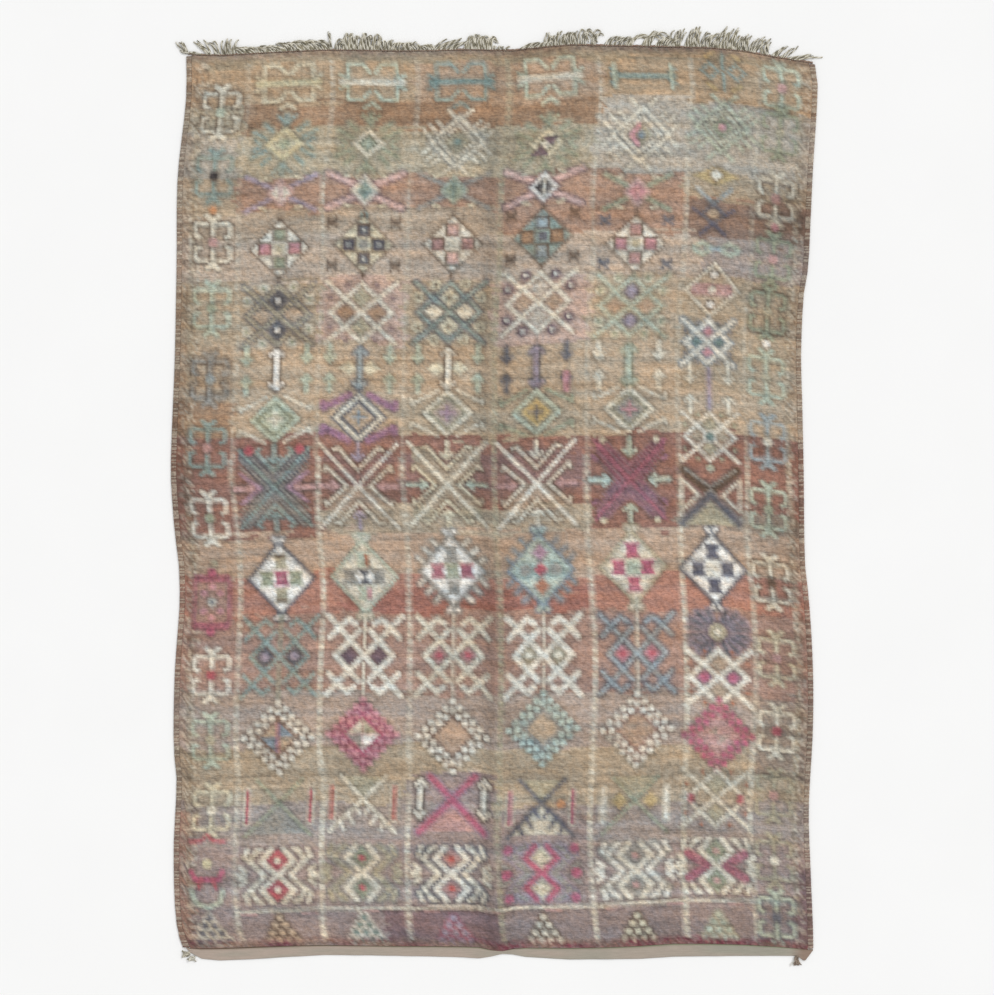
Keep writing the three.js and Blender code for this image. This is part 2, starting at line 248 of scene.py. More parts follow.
class Motif:
    """Lays wool on the chart about a middle knot, in knots to the right and down.

    With fold "sides" the left half mirrors the right one, with "quarters" the top mirrors
    the bottom as well."""

    REACH = 24
    SOFT = 0.5  # how far a shape fades out at its edge, in knots
    HALO = 0.74  # painted shade on the ground beside a raised line
    # how far that painted shade reaches, in knots
    HALO_REACH = 1.4
    EDGE_RISE = 0.3  # how high an edging wool stands beside the line's own
    EDGE_HOLD = 0.72  # how much of it shows; a dark edging wool such as umber or dark is painted shadow beside the line

    def __init__(self, column, row, fold="quarters"):
        top, left = max(int(row) - self.REACH, 0), max(int(column) - self.REACH, 0)
        self.window = np.s_[top : int(row) + self.REACH, left : int(column) + self.REACH]
        self.across = column_index[self.window] - column
        self.down = row_index[self.window] - row
        if fold in ("sides", "quarters"):
            self.across = abs(self.across)
        if fold == "quarters":
            self.down = abs(self.down)

    def lay(self, share, wool, rise=1.0, hold=1.0):
        """Lays wool over a share of each place, from 0 to 1."""
        shown = (wear[self.window] * share * hold)[..., None]
        chart[self.window] = chart[self.window] * (1 - shown) + linear(wool) * shown
        chart_rise[self.window] = chart_rise[self.window] * (1 - share) + rise * share

    def lay_by_distance(self, distance, wool, edge, halo=HALO):
        """Lays wool where a distance is below zero and paints shade on the ground beside it."""
        inside = np.clip(self.SOFT - distance, 0, 1)
        beside = np.clip(self.HALO_REACH - distance, 0, 1) - inside
        # painted shade on the ground beside the line
        chart[self.window] *= (1 - (1 - halo) * beside)[..., None]
        if edge:
            self.lay(beside, edge, self.EDGE_RISE, self.EDGE_HOLD)
        self.lay(inside, wool)

    def line(self, points, wool, thick, edge=None):
        """A line of knots through places, each a pair of knots right and down."""
        nearest = np.full(self.across.shape, 1e9)
        for (x0, y0), (x1, y1) in zip(points, points[1:]):
            run_x, run_y = x1 - x0, y1 - y0
            share = (self.across - x0) * run_x + (self.down - y0) * run_y
            share = np.clip(share / (run_x**2 + run_y**2), 0, 1)
            away = np.hypot(self.across - x0 - share * run_x, self.down - y0 - share * run_y)
            nearest = np.minimum(nearest, away)
        self.lay_by_distance(nearest - thick / 2, wool, edge)

    def diamond(self, x, y, wide, tall, wool, thick=None, edge=None):
        """A diamond by its half width and half height, filled or only its outline."""
        inside = abs(self.across - x) / wide + abs(self.down - y) / tall - 1
        away = inside * wide * tall / math.hypot(wide, tall)
        if thick:
            away = abs(away) - thick / 2
        self.lay_by_distance(away, wool, edge)

    def block(self, x, y, wide, tall, wool):
        """A block of knots by its half width and half height."""
        away = np.maximum(abs(self.across - x) - wide, abs(self.down - y) - tall)
        self.lay_by_distance(away, wool, None, 1.0)

    def hourglass(self, x, y, wool):
        """A chequer a little narrower at its waist, with the fill's light showing beside it."""
        waist = 1.9 + 0.3 * abs(self.down - y)
        away = np.maximum(abs(self.across - x) - waist, abs(self.down - y) - 2.8)
        self.lay_by_distance(away, wool, None, 1.0)

    def dot(self, x, y, size, wool, edge=None):
        """A round dot by its radius."""
        self.lay_by_distance(np.hypot(self.across - x, self.down - y) - size, wool, edge)

    def triangle(self, x, y, wide, tall, wool, rise=1.0):
        """A triangle with its tip at a place, widening over its height, down or up."""
        share = (self.down - y) / tall
        inside = np.clip(share * wide + 0.8 - abs(self.across - x), 0, 1)
        self.lay(inside * (share >= 0) * (share <= 1), wool, rise)


def butterfly(column, row, line, bar, wings=True):
    """Two pairs of angular wings on a bar with spiked ends."""
    motif = Motif(column, row)
    if wings:
        motif.line([(8.9, 0.8), (8.9, 6.6), (3.6, 6.6), (1, 3.4)], line, 1.2)
        Motif(column, row, "sides").line([(2.6, 9.6), (0, 7.8)], line, 1.2)
    motif.line([(9.4, 1), (11.8, 2.6)], line, 1.1)
    motif.line([(0, 0), (11.2, 0)], bar, 2)


def crossed_diamond(column, row, line, inner, spur, size=1):
    """A diamond whose sides run on past its tips, with spurs across them."""
    motif = Motif(column, row)
    motif.line([(8.6 * size, 0.6), (12.4 * size, 4.2)], line, 1.2)
    motif.line([(0.6, 8.2 * size), (4.4, 11.8 * size)], line, 1.2)
    motif.line([(5.4 * size, 5.2 * size), (8 * size, 7.8 * size)], line, 1)
    motif.line([(7.4 * size, 3.4 * size), (10.6 * size, 6.4 * size)], line, 1)
    motif.diamond(0, 0, 9.4 * size, 9 * size, line, 1.3, "grey")
    motif.diamond(0, 0, 6.4 * size, 6 * size, line, 0.9)
    motif.diamond(0, 0, 4.2, 4.2, inner)
    motif.dot(0, 0, 1.4, spur)


def hooked_diamond(column, row, line, fill, hook, middle, wide=5.6):
    """A small diamond with stems and leaves off its tips and along its sides."""
    motif = Motif(column, row)
    motif.line([(0, wide), (0, 10.6)], hook, 1.5, "khaki")
    motif.line([(0.6, 8), (3.2, 10.4)], hook, 1.1)
    motif.line([(wide + 0.6, 2), (11.2, 4.8)], hook, 1.3, "khaki")
    motif.line([(8.2, 0.2), (10.6, 2)], hook, 1.1)
    motif.line([(4.6, 4.8), (7.6, 7.4)], hook, 1.3, "khaki")
    motif.diamond(0, 0, wide + 0.8, wide + 0.4, fill, None, "khaki")
    motif.diamond(0, 0, wide, wide - 0.4, line, 1.5)
    motif.diamond(0, 0, wide - 2.6, wide - 3, middle)


def crossed_arms(column, row, line, fill, stripe, arm, edge=None, far=12.6):
    """A small striped diamond between the arms of a cross."""
    motif = Motif(column, row)
    motif.line([(3.6, 2.2), (far, 6.4)], arm, 1.7, edge)
    motif.line([(5.4, 5.8), (7.4, 5.2)], "cream", 1)
    motif.diamond(0, 0, 5.2, 5.4, line, None, edge)
    motif.diamond(0, 0, 3.4, 3.6, fill)
    motif.line([(0, 0), (0, 2.6)], stripe, 0.8)


def chequer_diamond(column, row, line, tips, sides, middle):
    """A diamond with five chequers in it."""
    motif = Motif(column, row)
    motif.diamond(0, 0, 10.2, 10, line, None, "umber")
    for x, y, wool in ((0, 5.2, tips), (5.4, 0, sides)):
        # a rim of umber round each chequer is painted shadow
        motif.block(x, y, 2.7, 2.7, "umber")
        motif.block(x, y, 1.8, 1.8, wool)
    motif.block(0, 0, 1.7, 1.7, middle)
    motif.line([(0, 10.4), (0, 11.8)], "umber", 1)


PAW = ("#..#", ".##.", "####", "#..#")


def paw_marks(column, row, wool):
    """Four small paws about a chequered diamond, drawn knot by knot."""
    for across, down in ((-12, -9), (11, -9), (-12, 7), (11, 7)):
        motif = Motif(column + across, row + down, "none")
        for r, letters in enumerate(PAW):
            for c, letter in enumerate(letters):
                if letter == "#":
                    away = np.hypot(motif.across - (2 - c), motif.down - (2 - r))
                    motif.lay(np.clip(1.15 - away, 0, 1), wool)


def lattice(column, row, line, ends, sides, dot, edge=None, ring=None, thick=1.4, size=1):
    """Two crossed pairs of lines that make four diamonds, with a dot in each gap."""
    motif = Motif(column, row)
    motif.diamond(0, 5.4 * size, 3.8 * size, 3.8 * size, ends)
    motif.diamond(5.6 * size, 0, 3.7 * size, 3.2 * size, sides)
    motif.diamond(0, 0, 11.3 * size, 10.8 * size, line, thick, edge)
    motif.line([(0, 0), (13 * size, 11.4 * size)], line, thick, edge)
    for x, y in ((11.4 * size, 5.6 * size), (5.4 * size, 10.2 * size)):
        if ring:
            motif.dot(x, y, 1.9, ring)
        motif.dot(x, y, 0.7, dot)


def three_arrows(column, row, sides, middle, middle_edge, gap_fill=None):
    """An arrow with two heads between two pairs of arrows that point at each other."""
    motif = Motif(column, row)
    motif.line([(11, 3.2), (11, 8.2)], sides, 1.9)
    motif.line([(9.2, 4.4), (11, 2.4), (12.8, 4.4)], sides, 1.2)
    if gap_fill:
        motif.diamond(4, 0, 3.4, 2.6, gap_fill)
    motif.line([(0, 0), (0, 6.8)], middle, 1.5, middle_edge)
    motif.line([(0, 7.2), (2.2, 5.4)], middle, 1.1, middle_edge)
    motif.line([(0, 0), (0, 6.4)], middle, 1.4)


def winged_diamond(column, row, line, fill, inner, middle, wing, thick, edge=None):
    """A diamond with a leafy wing along each side."""
    motif = Motif(column, row)
    motif.line([(3.6, 8.4), (8, 6), (12.6, 3.8)], wing, thick)
    motif.line([(12.8, 3.6), (13.2, 5.4)], wing, thick)
    motif.diamond(0, 0, 9.2, 8.6, fill, None, edge)
    motif.diamond(0, 0, 8.4, 7.8, line, 1.2, edge)
    motif.diamond(0, 0, 5.4, 5, inner)
    motif.line([(0, 0), (0, 2.2)], middle, 1)
    motif.line([(0, 0), (2.4, 0)], middle, 1)


def star_gaps(motif, wide, taper, tall):
    """How far each place lies within the gaps of a large cross, from 0 to 1."""
    from_cross = abs(motif.across * 1.1 - abs(motif.down))
    share = np.clip(wide - taper * motif.across - from_cross, 0, 1)
    return share * (motif.across < 12.6) * (abs(motif.down) < tall)


def great_star(column, row, line, hook, arrow, top_arrow, thick, band=None):
    """A large cross with a hooked chevron and an arrow in each of its four gaps."""
    half = Motif(column, row, "sides")
    within = star_gaps(half, 7.4, 0.2, 14)
    half.lay(within * (half.down <= 0), band or "burgundy", 0.4, 0.7)
    half.lay(within * (half.down >= 0), band or "olive", 0.4, 0.7)
    motif = Motif(column, row)
    motif.line([(0, 0), (14.2, 15.6)], line, thick)
    motif.line([(0, 5.8), (7.2, 14), (8.8, 13.4)], hook, 0.9, "umber")
    motif.line([(4.3, 0), (11.8, 7.2), (12.4, 5.6)], hook, 0.9, "umber")
    motif.line([(7.6, 0), (14.2, 0)], arrow, 1.4)
    motif.line([(7.6, 0), (9.4, 1.6)], arrow, 1)
    motif.line([(0, 11), (0, 15.6)], top_arrow, 1.4)
    motif.line([(0, 9.6), (2, 11.4)], top_arrow, 1.1)


def filled_star(column, row, line, fill, arrow, top_arrow, deep, low_fill):
    """The large cross with its chevrons filled solid and striped."""
    motif = Motif(column, row, "sides")
    within = star_gaps(motif, 7.2, 0.28, 15)
    motif.lay(within, fill, 1, 0.95)
    motif.lay(within * np.clip(motif.down / 3, 0, 1), low_fill, 1, 0.6)
    motif = Motif(column, row)
    for offset in (2.2, 4.9):
        motif.line([(0, offset), (12.2 - offset * 0.9, 14)], deep, 0.7)
        motif.line([(offset, 0), (12.2, 13.6 - offset * 1.1)], deep, 0.7)
    motif.line([(0, 0), (13, 14.6)], line, 0.9)
    motif.line([(8.4, 0), (14.2, 0)], arrow, 1.9, "dark")
    motif.line([(7.4, 0), (9.4, 1.9)], arrow, 1.1)
    motif.line([(0, 10.4), (0, 15.6)], top_arrow, 1.5, "dark")
    motif.line([(0, 9.2), (2.2, 11)], top_arrow, 1.2)


def great_diamond(column, row, fill, edge, tips, sides, middle, spikes=None):
    """A large diamond with a cross of five chequers in it and a knob on each end."""
    motif = Motif(column, row)
    if spikes:
        for across, down in ((10.2, 3), (7.6, 6.2), (4.8, 9.4)):
            motif.line([(across, down), (across + 1.9, down + 1.8)], spikes, 1.2, "grey")
    motif.line([(0, 12), (0, 14.2)], fill, 2.2, edge)
    motif.line([(0, 13), (1.9, 14.8)], fill, 1.1, edge)
    motif.diamond(0, 0, 11.4, 12.6, fill, None, edge)
    motif.diamond(0, 0, 12, 13.2, edge, 0.8)
    motif.hourglass(0, 6.2, tips)
    motif.hourglass(5.3, 0, sides)
    motif.hourglass(0, 0, middle)


def hooked_lattice(column, row, line, fill, stem, dot, edge, thick):
    """Two diamonds side by side, their lines crossing on into hooks above and below."""
    motif = Motif(column, row)
    motif.diamond(5.3, 0, 3.4, 3.8, fill, None, "umber")
    motif.line([(0, 0), (13.4, 14.6)], line, thick, edge)
    motif.line([(10.4, 0), (5.2, 5.6), (1.8, 9.4)], line, thick, edge)
    motif.line([(12.6, 6.6), (9.4, 10.2), (5.8, 13.6), (3.4, 11.6)], line, thick, edge)
    motif.line([(0, 3), (0, 15.2)], stem, 0.9)
    if dot:
        motif.dot(5.3, 0, 1.4, dot)


def dotted_diamond(column, row, dots, quarters, under="umber_rose", inner=6):
    """A wreath of round dots about a small quartered diamond."""
    motif = Motif(column, row)
    motif.diamond(0, 0, 12.4, 13, under)
    for ring, count in ((12.2, 5), (9, 4)):
        for i in range(count + 1):
            share = i / count
            motif.dot(ring * share, ring * 1.06 * (1 - share), 1.15, dots)
    for i, wool in enumerate(quarters):
        whole = Motif(column, row, "none")
        across = whole.across * (1 if i % 2 else -1)
        down = whole.down * (1 if i > 1 else -1)
        share = np.clip(inner + 0.5 - abs(across) - abs(down), 0, 1)
        whole.lay(share * np.clip(across + 0.5, 0, 1) * np.clip(down + 0.5, 0, 1), wool)


def barred_cross(column, row, line, fills, bar, thick=1.4, edge=None, bar_edge="ecru"):
    """A cross with filled gaps above and below, between two upright bars."""
    motif = Motif(column, row, "sides")
    top_fill, low_fill = fills
    if top_fill:
        motif.triangle(0, -0.5, 7.2, -8, top_fill, 0.5)
    if low_fill:
        motif.triangle(0, 0.5, 10.6, 11.4, low_fill, 0.5)
    motif.line([(0, 0), (8.2, -8.6)], line, thick, edge)
    motif.line([(0, 0), (11.8, 12)], line, thick, edge)
    motif.line([(11.4, -4.4), (11.4, 7)], bar, 1.2, bar_edge)


def fir_arms(column, row, line):
    """Short twigs that hang from the lower arms of a cross."""
    motif = Motif(column, row, "sides")
    motif.line([(2.6, 2.4), (1, 5.4)], line, 1.2)
    motif.line([(5.4, 5.2), (3.4, 9)], line, 1.2)
    motif.line([(8.2, 8), (6.6, 11.4)], line, 1.2)


def stacked_diamonds(column, row, line, fill, middle, side, edge=None):
    """Two diamonds one above the other between hooked chevrons."""
    motif = Motif(column, row)
    motif.diamond(0, 5.4, 4.4, 4.6, fill)
    motif.dot(0, 5.4, 1.2, middle)
    motif.line([(0.4, 0.2), (5.8, 5.4), (2.2, 9.8)], line, 1.9, edge)
    motif.line([(4.6, 0), (11.6, 7)], side, 1.8, edge)
    motif.line([(11.8, 7), (10.8, 9.8)], side, 1.5, edge)
    motif.line([(9.8, 5.6), (7.4, 9.6)], side, 1.6, edge)
    motif.line([(8, 8.4), (5.8, 9.8)], side, 1.3, edge)
    motif.dot(13, 0, 1.8, side)
    motif.line([(11.4, 1.8), (13.6, 3.4)], side, 1.4)


def dot_triangle(column, row, wool, edge):
    """Rows of one, two, three and four round dots."""
    motif = Motif(column, row, "none")
    for count in range(4):
        for i in range(count + 1):
            motif.dot((i - count / 2) * 3.5, -4.6 + 2.8 * count, 1.2, wool, edge)


def candelabra(column, row, line, middle, edge=None):
    """A border motif: a stem with a bud on each end and two arms that hang off it."""
    motif = Motif(column, row)
    motif.line([(0.6, 6.6), (5.2, 7), (6.3, 6), (6.2, 2.4), (4.8, 1.8)], line, 1.3, edge)
    motif.line([(0, 8.6), (0, 2.6)], line, 1.5, edge)
    motif.line([(0.4, 8.2), (2.2, 9.8)], line, 1.6)
    motif.dot(0, 0, 1.8, middle)


def ladder(column, wide, first_row, last_row, wool, seed, share):
    """An upright divider of short dashes one above the other, worn away in places."""
    draw = np.random.default_rng(seed)
    rows = np.arange(first_row, last_row)
    drift = smooth_noise(rows.size, 2, 26, 1, seed)[:, 0] * 0.7
    kept = smooth_noise(rows.size, 2, 12, 1, seed + 1)[:, 0] * 0.25 + share
    dash = 0.7 + 0.3 * np.sin(rows * 2.1 + np.cumsum(draw.uniform(-0.4, 0.4, rows.size)))
    across = column_index[0] - column - drift[:, None]
    cover = np.clip(wide / 2 + 0.5 - abs(across), 0, 1)
    shown = (cover * (kept * dash)[:, None] * draw.uniform(0.75, 1.2, cover.shape)).clip(0, 1)
    # the ground under a divider is darkened a little, painted shade between its dashes
    part = chart[first_row:last_row] * (1 - cover[..., None] * 0.1)
    chart[first_row:last_row] = part + (linear(wool) - part) * shown[..., None]
    chart_rise[first_row:last_row] += cover * 0.6


# The middles of the field's six columns of motifs, counted in knots
C1, C2, C3, C4, C5, C6 = 37.5, 68, 100.3, 132.8, 166.7, 196

DIVIDERS = ((22.5, 0.6), (53, 0.8), (84.5, 0.6), (151, 0.75), (184.5, 0.85), (209, 0.65))
for column, share in DIVIDERS:
    ladder(column, 1.5, 4, 150, "ecru", int(column * 10), share * 0.7)
    ladder(column, 1.9, 150, 329, "ecru", int(column * 10) + 5, share * 1.2)
ladder(117.5, 2.2, 3, 329, "khaki", 7, 0.9)
ladder(5.5, 2.6, 20, 318, "khaki", 61, 0.35)
ladder(225, 2.2, 20, 318, "cream", 63, 0.4)

# Selvedges stitched in a light and a dark wool
for first_column, last_column in ((3, 9), (KNOTS_ACROSS - 6, KNOTS_ACROSS - 2)):
    place = np.s_[:, first_column:last_column]
    stitch = rng.uniform(0, 1, (CHART_ROWS, last_column - first_column, 1))
    chart[place] += (linear("ecru") - chart[place]) * (stitch > 0.7) * 0.4
    chart[place] += (linear("umber") - chart[place]) * (stitch < 0.3) * 0.4

# Row of butterflies by the fringe
butterfly(C1, 11.3, "cream", "straw")
butterfly(C2, 11.3, "mint", "ecru")
butterfly(C3, 11.3, "sea", "teal")
butterfly(C4, 10.8, "mint", "ecru")
butterfly(C5, 10.6, "sea", "sea", False)
Motif(C5, 10.6).line([(10.4, 0), (10.4, 4.2)], "mint", 1.3)
motif = Motif(C6, 8)
motif.diamond(4.8, 0, 3, 2.8, "sea", 1)
motif.line([(0, 1), (0, 6.5)], "sea", 1.3)
motif.line([(3, 6.8), (6, 5)], "mustard", 1.2)

# Crossed and hooked diamonds
hooked_diamond(C1, 33.8, "straw", "cream", "sea", "sage")
hooked_diamond(C2, 34, "ecru", "sage", "sage", "mint", 4.8)
crossed_diamond(C3, 33.6, "ecru", "khaki", "teal")
hooked_diamond(C4, 35.3, "cream", "khaki", "sage", "ecru", 5)
Motif(C4, 35.3, "none").triangle(1.4, 0.6, 2.8, -3.6, "plum")
Motif(C4, 35.3, "none").triangle(-2.2, 0.4, 2.8, 3.4, "plum")
crossed_diamond(C5, 32.2, "ecru", "khaki", "blue", 1.1)
Motif(C5, 32.2, "none").line([(-1, -3.4), (-3.4, 0), (-1, 3.4)], "pink", 1.8)
crossed_diamond(C6, 28.7, "mint", "sage", "pink")
Motif(C6 - 1, 46.8).diamond(0, 0, 8.4, 3.6, "mustard")
Motif(C6 - 1, 46.4).diamond(0, 0, 2.2, 2, "pale", None, "umber")

# Small diamonds in crossed arms
crossed_arms(C1, 51.8, "blush", "pale", "pink", "lilac")
crossed_arms(C2, 51.4, "pale", "sea", "teal", "blush", "plum", 13.4)
crossed_arms(C3, 51.4, "mint", "sage", "teal", "grey")
crossed_arms(C4, 51, "white", "black", "pale", "blush", "plum", 13.6)
crossed_arms(C5, 53.2, "blush", "pink", "rose", "sage", None, 11.8)
motif = Motif(C6 - 1.5, 59.5, "sides")
motif.line([(0, -2.4), (6.2, -8)], "sky", 1.3)
motif.line([(0, -2.4), (4, 1.6), (0, 5.2)], "slate", 1.3)
motif.line([(4.4, 1.6), (7.4, -0.4)], "navy", 1.1)
motif.line([(0, 4.8), (4.4, 8.8)], "navy", 1.4)
motif.dot(0, 1.4, 1.7, "peach")
Motif(C2, 60.6).dot(0, 0, 1.6, "sea")

# Chequered diamonds and paw marks
chequer_diamond(C1, 72.4, "pale", "sage", "pink", "khaki")
chequer_diamond(C2, 71.4, "cream", "slate", "navy", "grey")
for x, y in ((0, 5.4), (5.5, 0)):
    Motif(C2, 71.4).dot(x, y, 0.6, "pale")
chequer_diamond(C3, 71.2, "pale", "blush", "rose", "ecru")
chequer_diamond(C4, 69.2, "sea", "sky", "brown_apricot", "slate")
chequer_diamond(C5, 72.2, "pale", "rose", "pink", "khaki")
Motif(C6, 73.7).line([(1, 0), (5, 2), (8, 0.6)], "mint", 1.6)
Motif(C6, 73.7).block(0, 0, 2, 0.8, "sky")
paw_marks(C2, 71.6, "umber")
paw_marks(C4, 69.4, "umber")
paw_marks(C5, 72, "slate")

# Lattices of four diamonds
lattice(C1, 97, "khaki", "slate", "rose_tan", "moss", "slate", "ecru", 0.8)
Motif(C1, 97).diamond(0, 5.4, 1.2, 1.5, "white", None, "black")
lattice(C2, 96.5, "ecru", "khaki", "brown_apricot", "plum")
lattice(C3, 96.2, "sea", "cream", "ecru", "umber", "slate", "cream", 1)
Motif(C3, 96.2).dot(0, 5.4, 0.8, "umber")
lattice(C4, 93.2, "ecru", "field_sage", "terracotta_tan", "pale", None, "plum")
lattice(C5, 95, "mint", "grey", "terracotta_tan", "moss", "khaki", "cream", 1.1)
Motif(C5, 95).dot(0, 5.4, 1.8, "lilac", "plum")
motif = Motif(C6, 88.8)
motif.diamond(0, 0, 9.6, 9.6, "peach")
motif.block(0, 0, 7.6, 2.2, "rose")
motif.diamond(0, 0, 9.6, 9.6, "ecru", 0.9)
motif.dot(0, 0, 1.4, "ecru")
motif.dot(0, 5.6, 1.1, "white", "dark")
lattice(C6 - 0.5, 108.2, "pale", "pink", "teal", "slate", "blue", None, 1.3, 0.72)

# Rows of arrows
three_arrows(C1, 117, "mint", "white", "umber")
three_arrows(C2, 117, "mint", "sky", "slate", "cream")
three_arrows(C3, 117, "mint", "pale", "umber", "cream")
three_arrows(C4, 116.8, "slate", "lilac", "slate")
Motif(C4, 116.8, "none").line([(11, 2.8), (11, 8.6)], "pink", 2.2)
three_arrows(C5, 116.8, "ecru", "mint", "sage")
motif = Motif(C6, 125.4)
motif.line([(0, 0), (0, 7)], "lilac", 1.6)
motif.line([(7, 3.4), (7, 9)], "ecru", 1.4)
motif.line([(5.4, 4.2), (7, 2.6), (8.6, 4.2)], "ecru", 1)

# Winged diamonds
winged_diamond(C1, 135.4, "mint", "sage", "mint", "pale", "ecru", 0.9)
winged_diamond(C2, 135.2, "ecru", "slate", "peach_light", "blue", "purple", 2.6, "slate")
winged_diamond(C3, 133.4, "ecru", "khaki", "taupe", "mauve", "ecru", 0.9)
winged_diamond(C4, 133.4, "mint", "khaki", "gold", "slate", "sage", 1.2)
winged_diamond(C5, 132.8, "ecru", "khaki", "grey", "pink", "ecru", 0.9)
lattice(C6, 143, "pale", "khaki", "olive", "sage", None, None, 1.2, 0.8)
Motif(C6, 143).dot(0, 0, 1.6, "teal", "pale")

# Great stars on the red ground
filled_star(C1, 160.6, "sea", "slate", "rose", "sea", "grey", "umber_taupe")
motif = Motif(C1, 160.6)
motif.line([(0, 6.4), (6.6, 13.4), (5.2, 14.6)], "sea", 1.2)
motif.line([(5, 0), (12, 5.4)], "mauve", 1.2)
Motif(C1, 160.6, "sides").dot(9.2, -14, 1.7, "crimson")
great_star(C2, 160.4, "pale", "ecru", "rose", "lilac", 1)
great_star(C3, 159.8, "ecru", "cream", "mint", "cream", 1.3, "khaki")
great_star(C4, 159.6, "pale", "ecru", "rose", "ecru", 1.2)
filled_star(C5, 158.8, "berry", "berry", "aqua", "mint", "wine_mauve", "mauve")
motif = Motif(C5, 158.8)
motif.line([(12.2, 7.6), (13.4, 8.6)], "purple", 1.4)
motif.dot(9.8, 14.8, 1.1, "cream")
motif = Motif(C6, 164.6, "sides")
motif.line([(0, -1), (9.6, -9.4)], "umber", 3.4, "burgundy")
motif.line([(0, -3), (9, -9.6)], "grey", 0.9)
motif.triangle(0, 2, 10, 9, "khaki", 0.5)
motif.line([(0, 0), (10.4, 10)], "slate", 2.2, "grey")
motif.line([(10.6, -6), (10.6, 5.6), (4.4, 0), (10.6, -6)], "ecru", 1)
motif.dot(0, -10, 1.3, "mint")

# Great diamonds with chequered crosses
great_diamond(C1, 194.2, "white", "slate", "khaki", "sage", "magenta")
motif = Motif(C1, 194.2)
motif.block(0, 8.2, 1.8, 0.7, "umber")
motif.dot(0, 0, 0.9, "pink")
great_diamond(C2, 193.8, "ecru", "mint", "mint", "grey", "slate")
Motif(C2, 193.8, "none").block(1.2, -6, 0.8, 2.3, "rust")
Motif(C2, 193.8, "none").block(1.6, 6.2, 0.8, 2, "pink")
Motif(C2, 193.8).diamond(1.9, 0, 1.7, 2.2, "white")
great_diamond(C3, 191.5, "white", "grey", "grey", "berry", "sage", "pale")
great_diamond(C4, 191.2, "aqua", "blue", "aqua", "aqua", "aqua", "blue")
motif = Motif(C4, 191.2, "sides")
motif.diamond(0, 0, 2.8, 3, "crimson")
motif.diamond(0, 6.2, 2.8, 3.2, "rust", None, "grey")
motif.diamond(0, -6.2, 2.8, 3.2, "mauve", None, "grey")
motif.dot(5.6, 0, 2.2, "grey", "sea")
great_diamond(C5, 190.8, "ecru", "khaki", "magenta", "magenta", "mint")
great_diamond(C6, 191.6, "white", "slate", "navy", "navy", "pale")

# Hooked lattices
hooked_lattice(C1, 223, "sea", "slate", "sage", "lilac", None, 1.4)
hooked_lattice(C2, 222.9, "pale", "plum", "ecru", None, None, 2)
hooked_lattice(C3, 222.7, "ecru", "rose", "ecru", "crimson", None, 1.9)
hooked_lattice(C4, 222.6, "pale", "khaki", "ecru", "ecru", None, 2.1)
hooked_lattice(C5, 222.5, "sky", "pink", "ecru", "crimson", "slate", 1.2)
motif = Motif(C6, 214.9)
for across, down in ((10.6, 1.6), (9.4, 4.4), (7, 6.8), (3.4, 7.6)):
    motif.line([(across * 0.45, down * 0.45), (across, down)], "slate", 1.5, "lilac")
motif.dot(0, 0, 3.2, "khaki", "plum")
motif.dot(0, 0, 1.1, "pale")
lattice(C6, 231.6, "pale", "rose_tan", "mauve", "rust", None, None, 1.8, 0.92)
Motif(C6, 231.6).dot(5.2, 0, 1.7, "magenta")

# Wreaths of dots
dotted_diamond(C1, 252.9, "pale", ("peach", "blue", "blue", "peach"))
Motif(C1, 252.9).line([(0, 0), (0, 5.2)], "magenta", 0.8)
dotted_diamond(C2, 252, "pink", ("ecru", "khaki", "grey", "white"), "magenta")
dotted_diamond(C3, 252.6, "pale", ("peach_tan",) * 4, "umber_rose", 6.4)
dotted_diamond(C4, 249.6, "aqua", ("peach_light",) * 4, "grey", 5.6)
dotted_diamond(C5, 250.5, "pale", ("peach_tan",) * 4, "rose_brown", 6.4)
dotted_diamond(C6, 252.9, "magenta", ("taupe", "rose", "rose", "taupe"), "rose", 4.2)

# Barred crosses
barred_cross(C1, 277, "sage", (None, "grey"), "crimson", 1.1)
barred_cross(C2, 275.8, "ecru", ("khaki", None), "red")
fir_arms(C2, 275.8, "pale")
barred_cross(C3, 275.8, "magenta", ("taupe_rose", "rose"), "pale", 2, "mauve", "dark")
motif = Motif(C3, 275.4)
motif.line([(11.6, 0), (11.6, 5.6)], "pale", 1.7, "dark")
motif.line([(9.8, 5), (11.6, 7), (13.4, 5)], "pale", 1.2, "dark")
barred_cross(C4, 276.8, "slate", ("khaki", "ecru"), "magenta")
fir_arms(C4, 276.8, "navy")
Motif(C4, 276.8, "none").dot(7, 0.4, 1.6, "orange")
barred_cross(C5, 276.4, "sage", ("khaki", None), "pale", 1)
Motif(C5, 276.4).diamond(5.6, 0, 3, 3, "mustard")
lattice(C6, 276.2, "ecru", "khaki", "olive", "rust", None, None, 1.4, 0.95)
Motif(C6, 276.2).dot(9, 0.6, 1.2, "crimson")

# Stacked diamonds
stacked_diamonds(C1, 303.8, "ecru", "crimson", "ecru", "ecru")
stacked_diamonds(C2, 303, "ecru", "sage", "crimson", "khaki", "grey")
stacked_diamonds(C3, 303.2, "pale", "rose", "red", "ecru", "slate")
stacked_diamonds(C4, 302.4, "magenta", "cream", "ecru", "grey", "lilac")
motif = Motif(C4, 302.4)
motif.dot(12.6, 0, 1.9, "magenta")
motif.dot(12, 9, 1.7, "magenta")
stacked_diamonds(C5, 302, "ecru", "grey", "rose", "pale", "grey")
stacked_diamonds(C6, 301, "ecru", "sage", "rose", "ecru")
Motif(C6, 301).line([(3.6, 0), (10, 4.6)], "berry", 3.2)

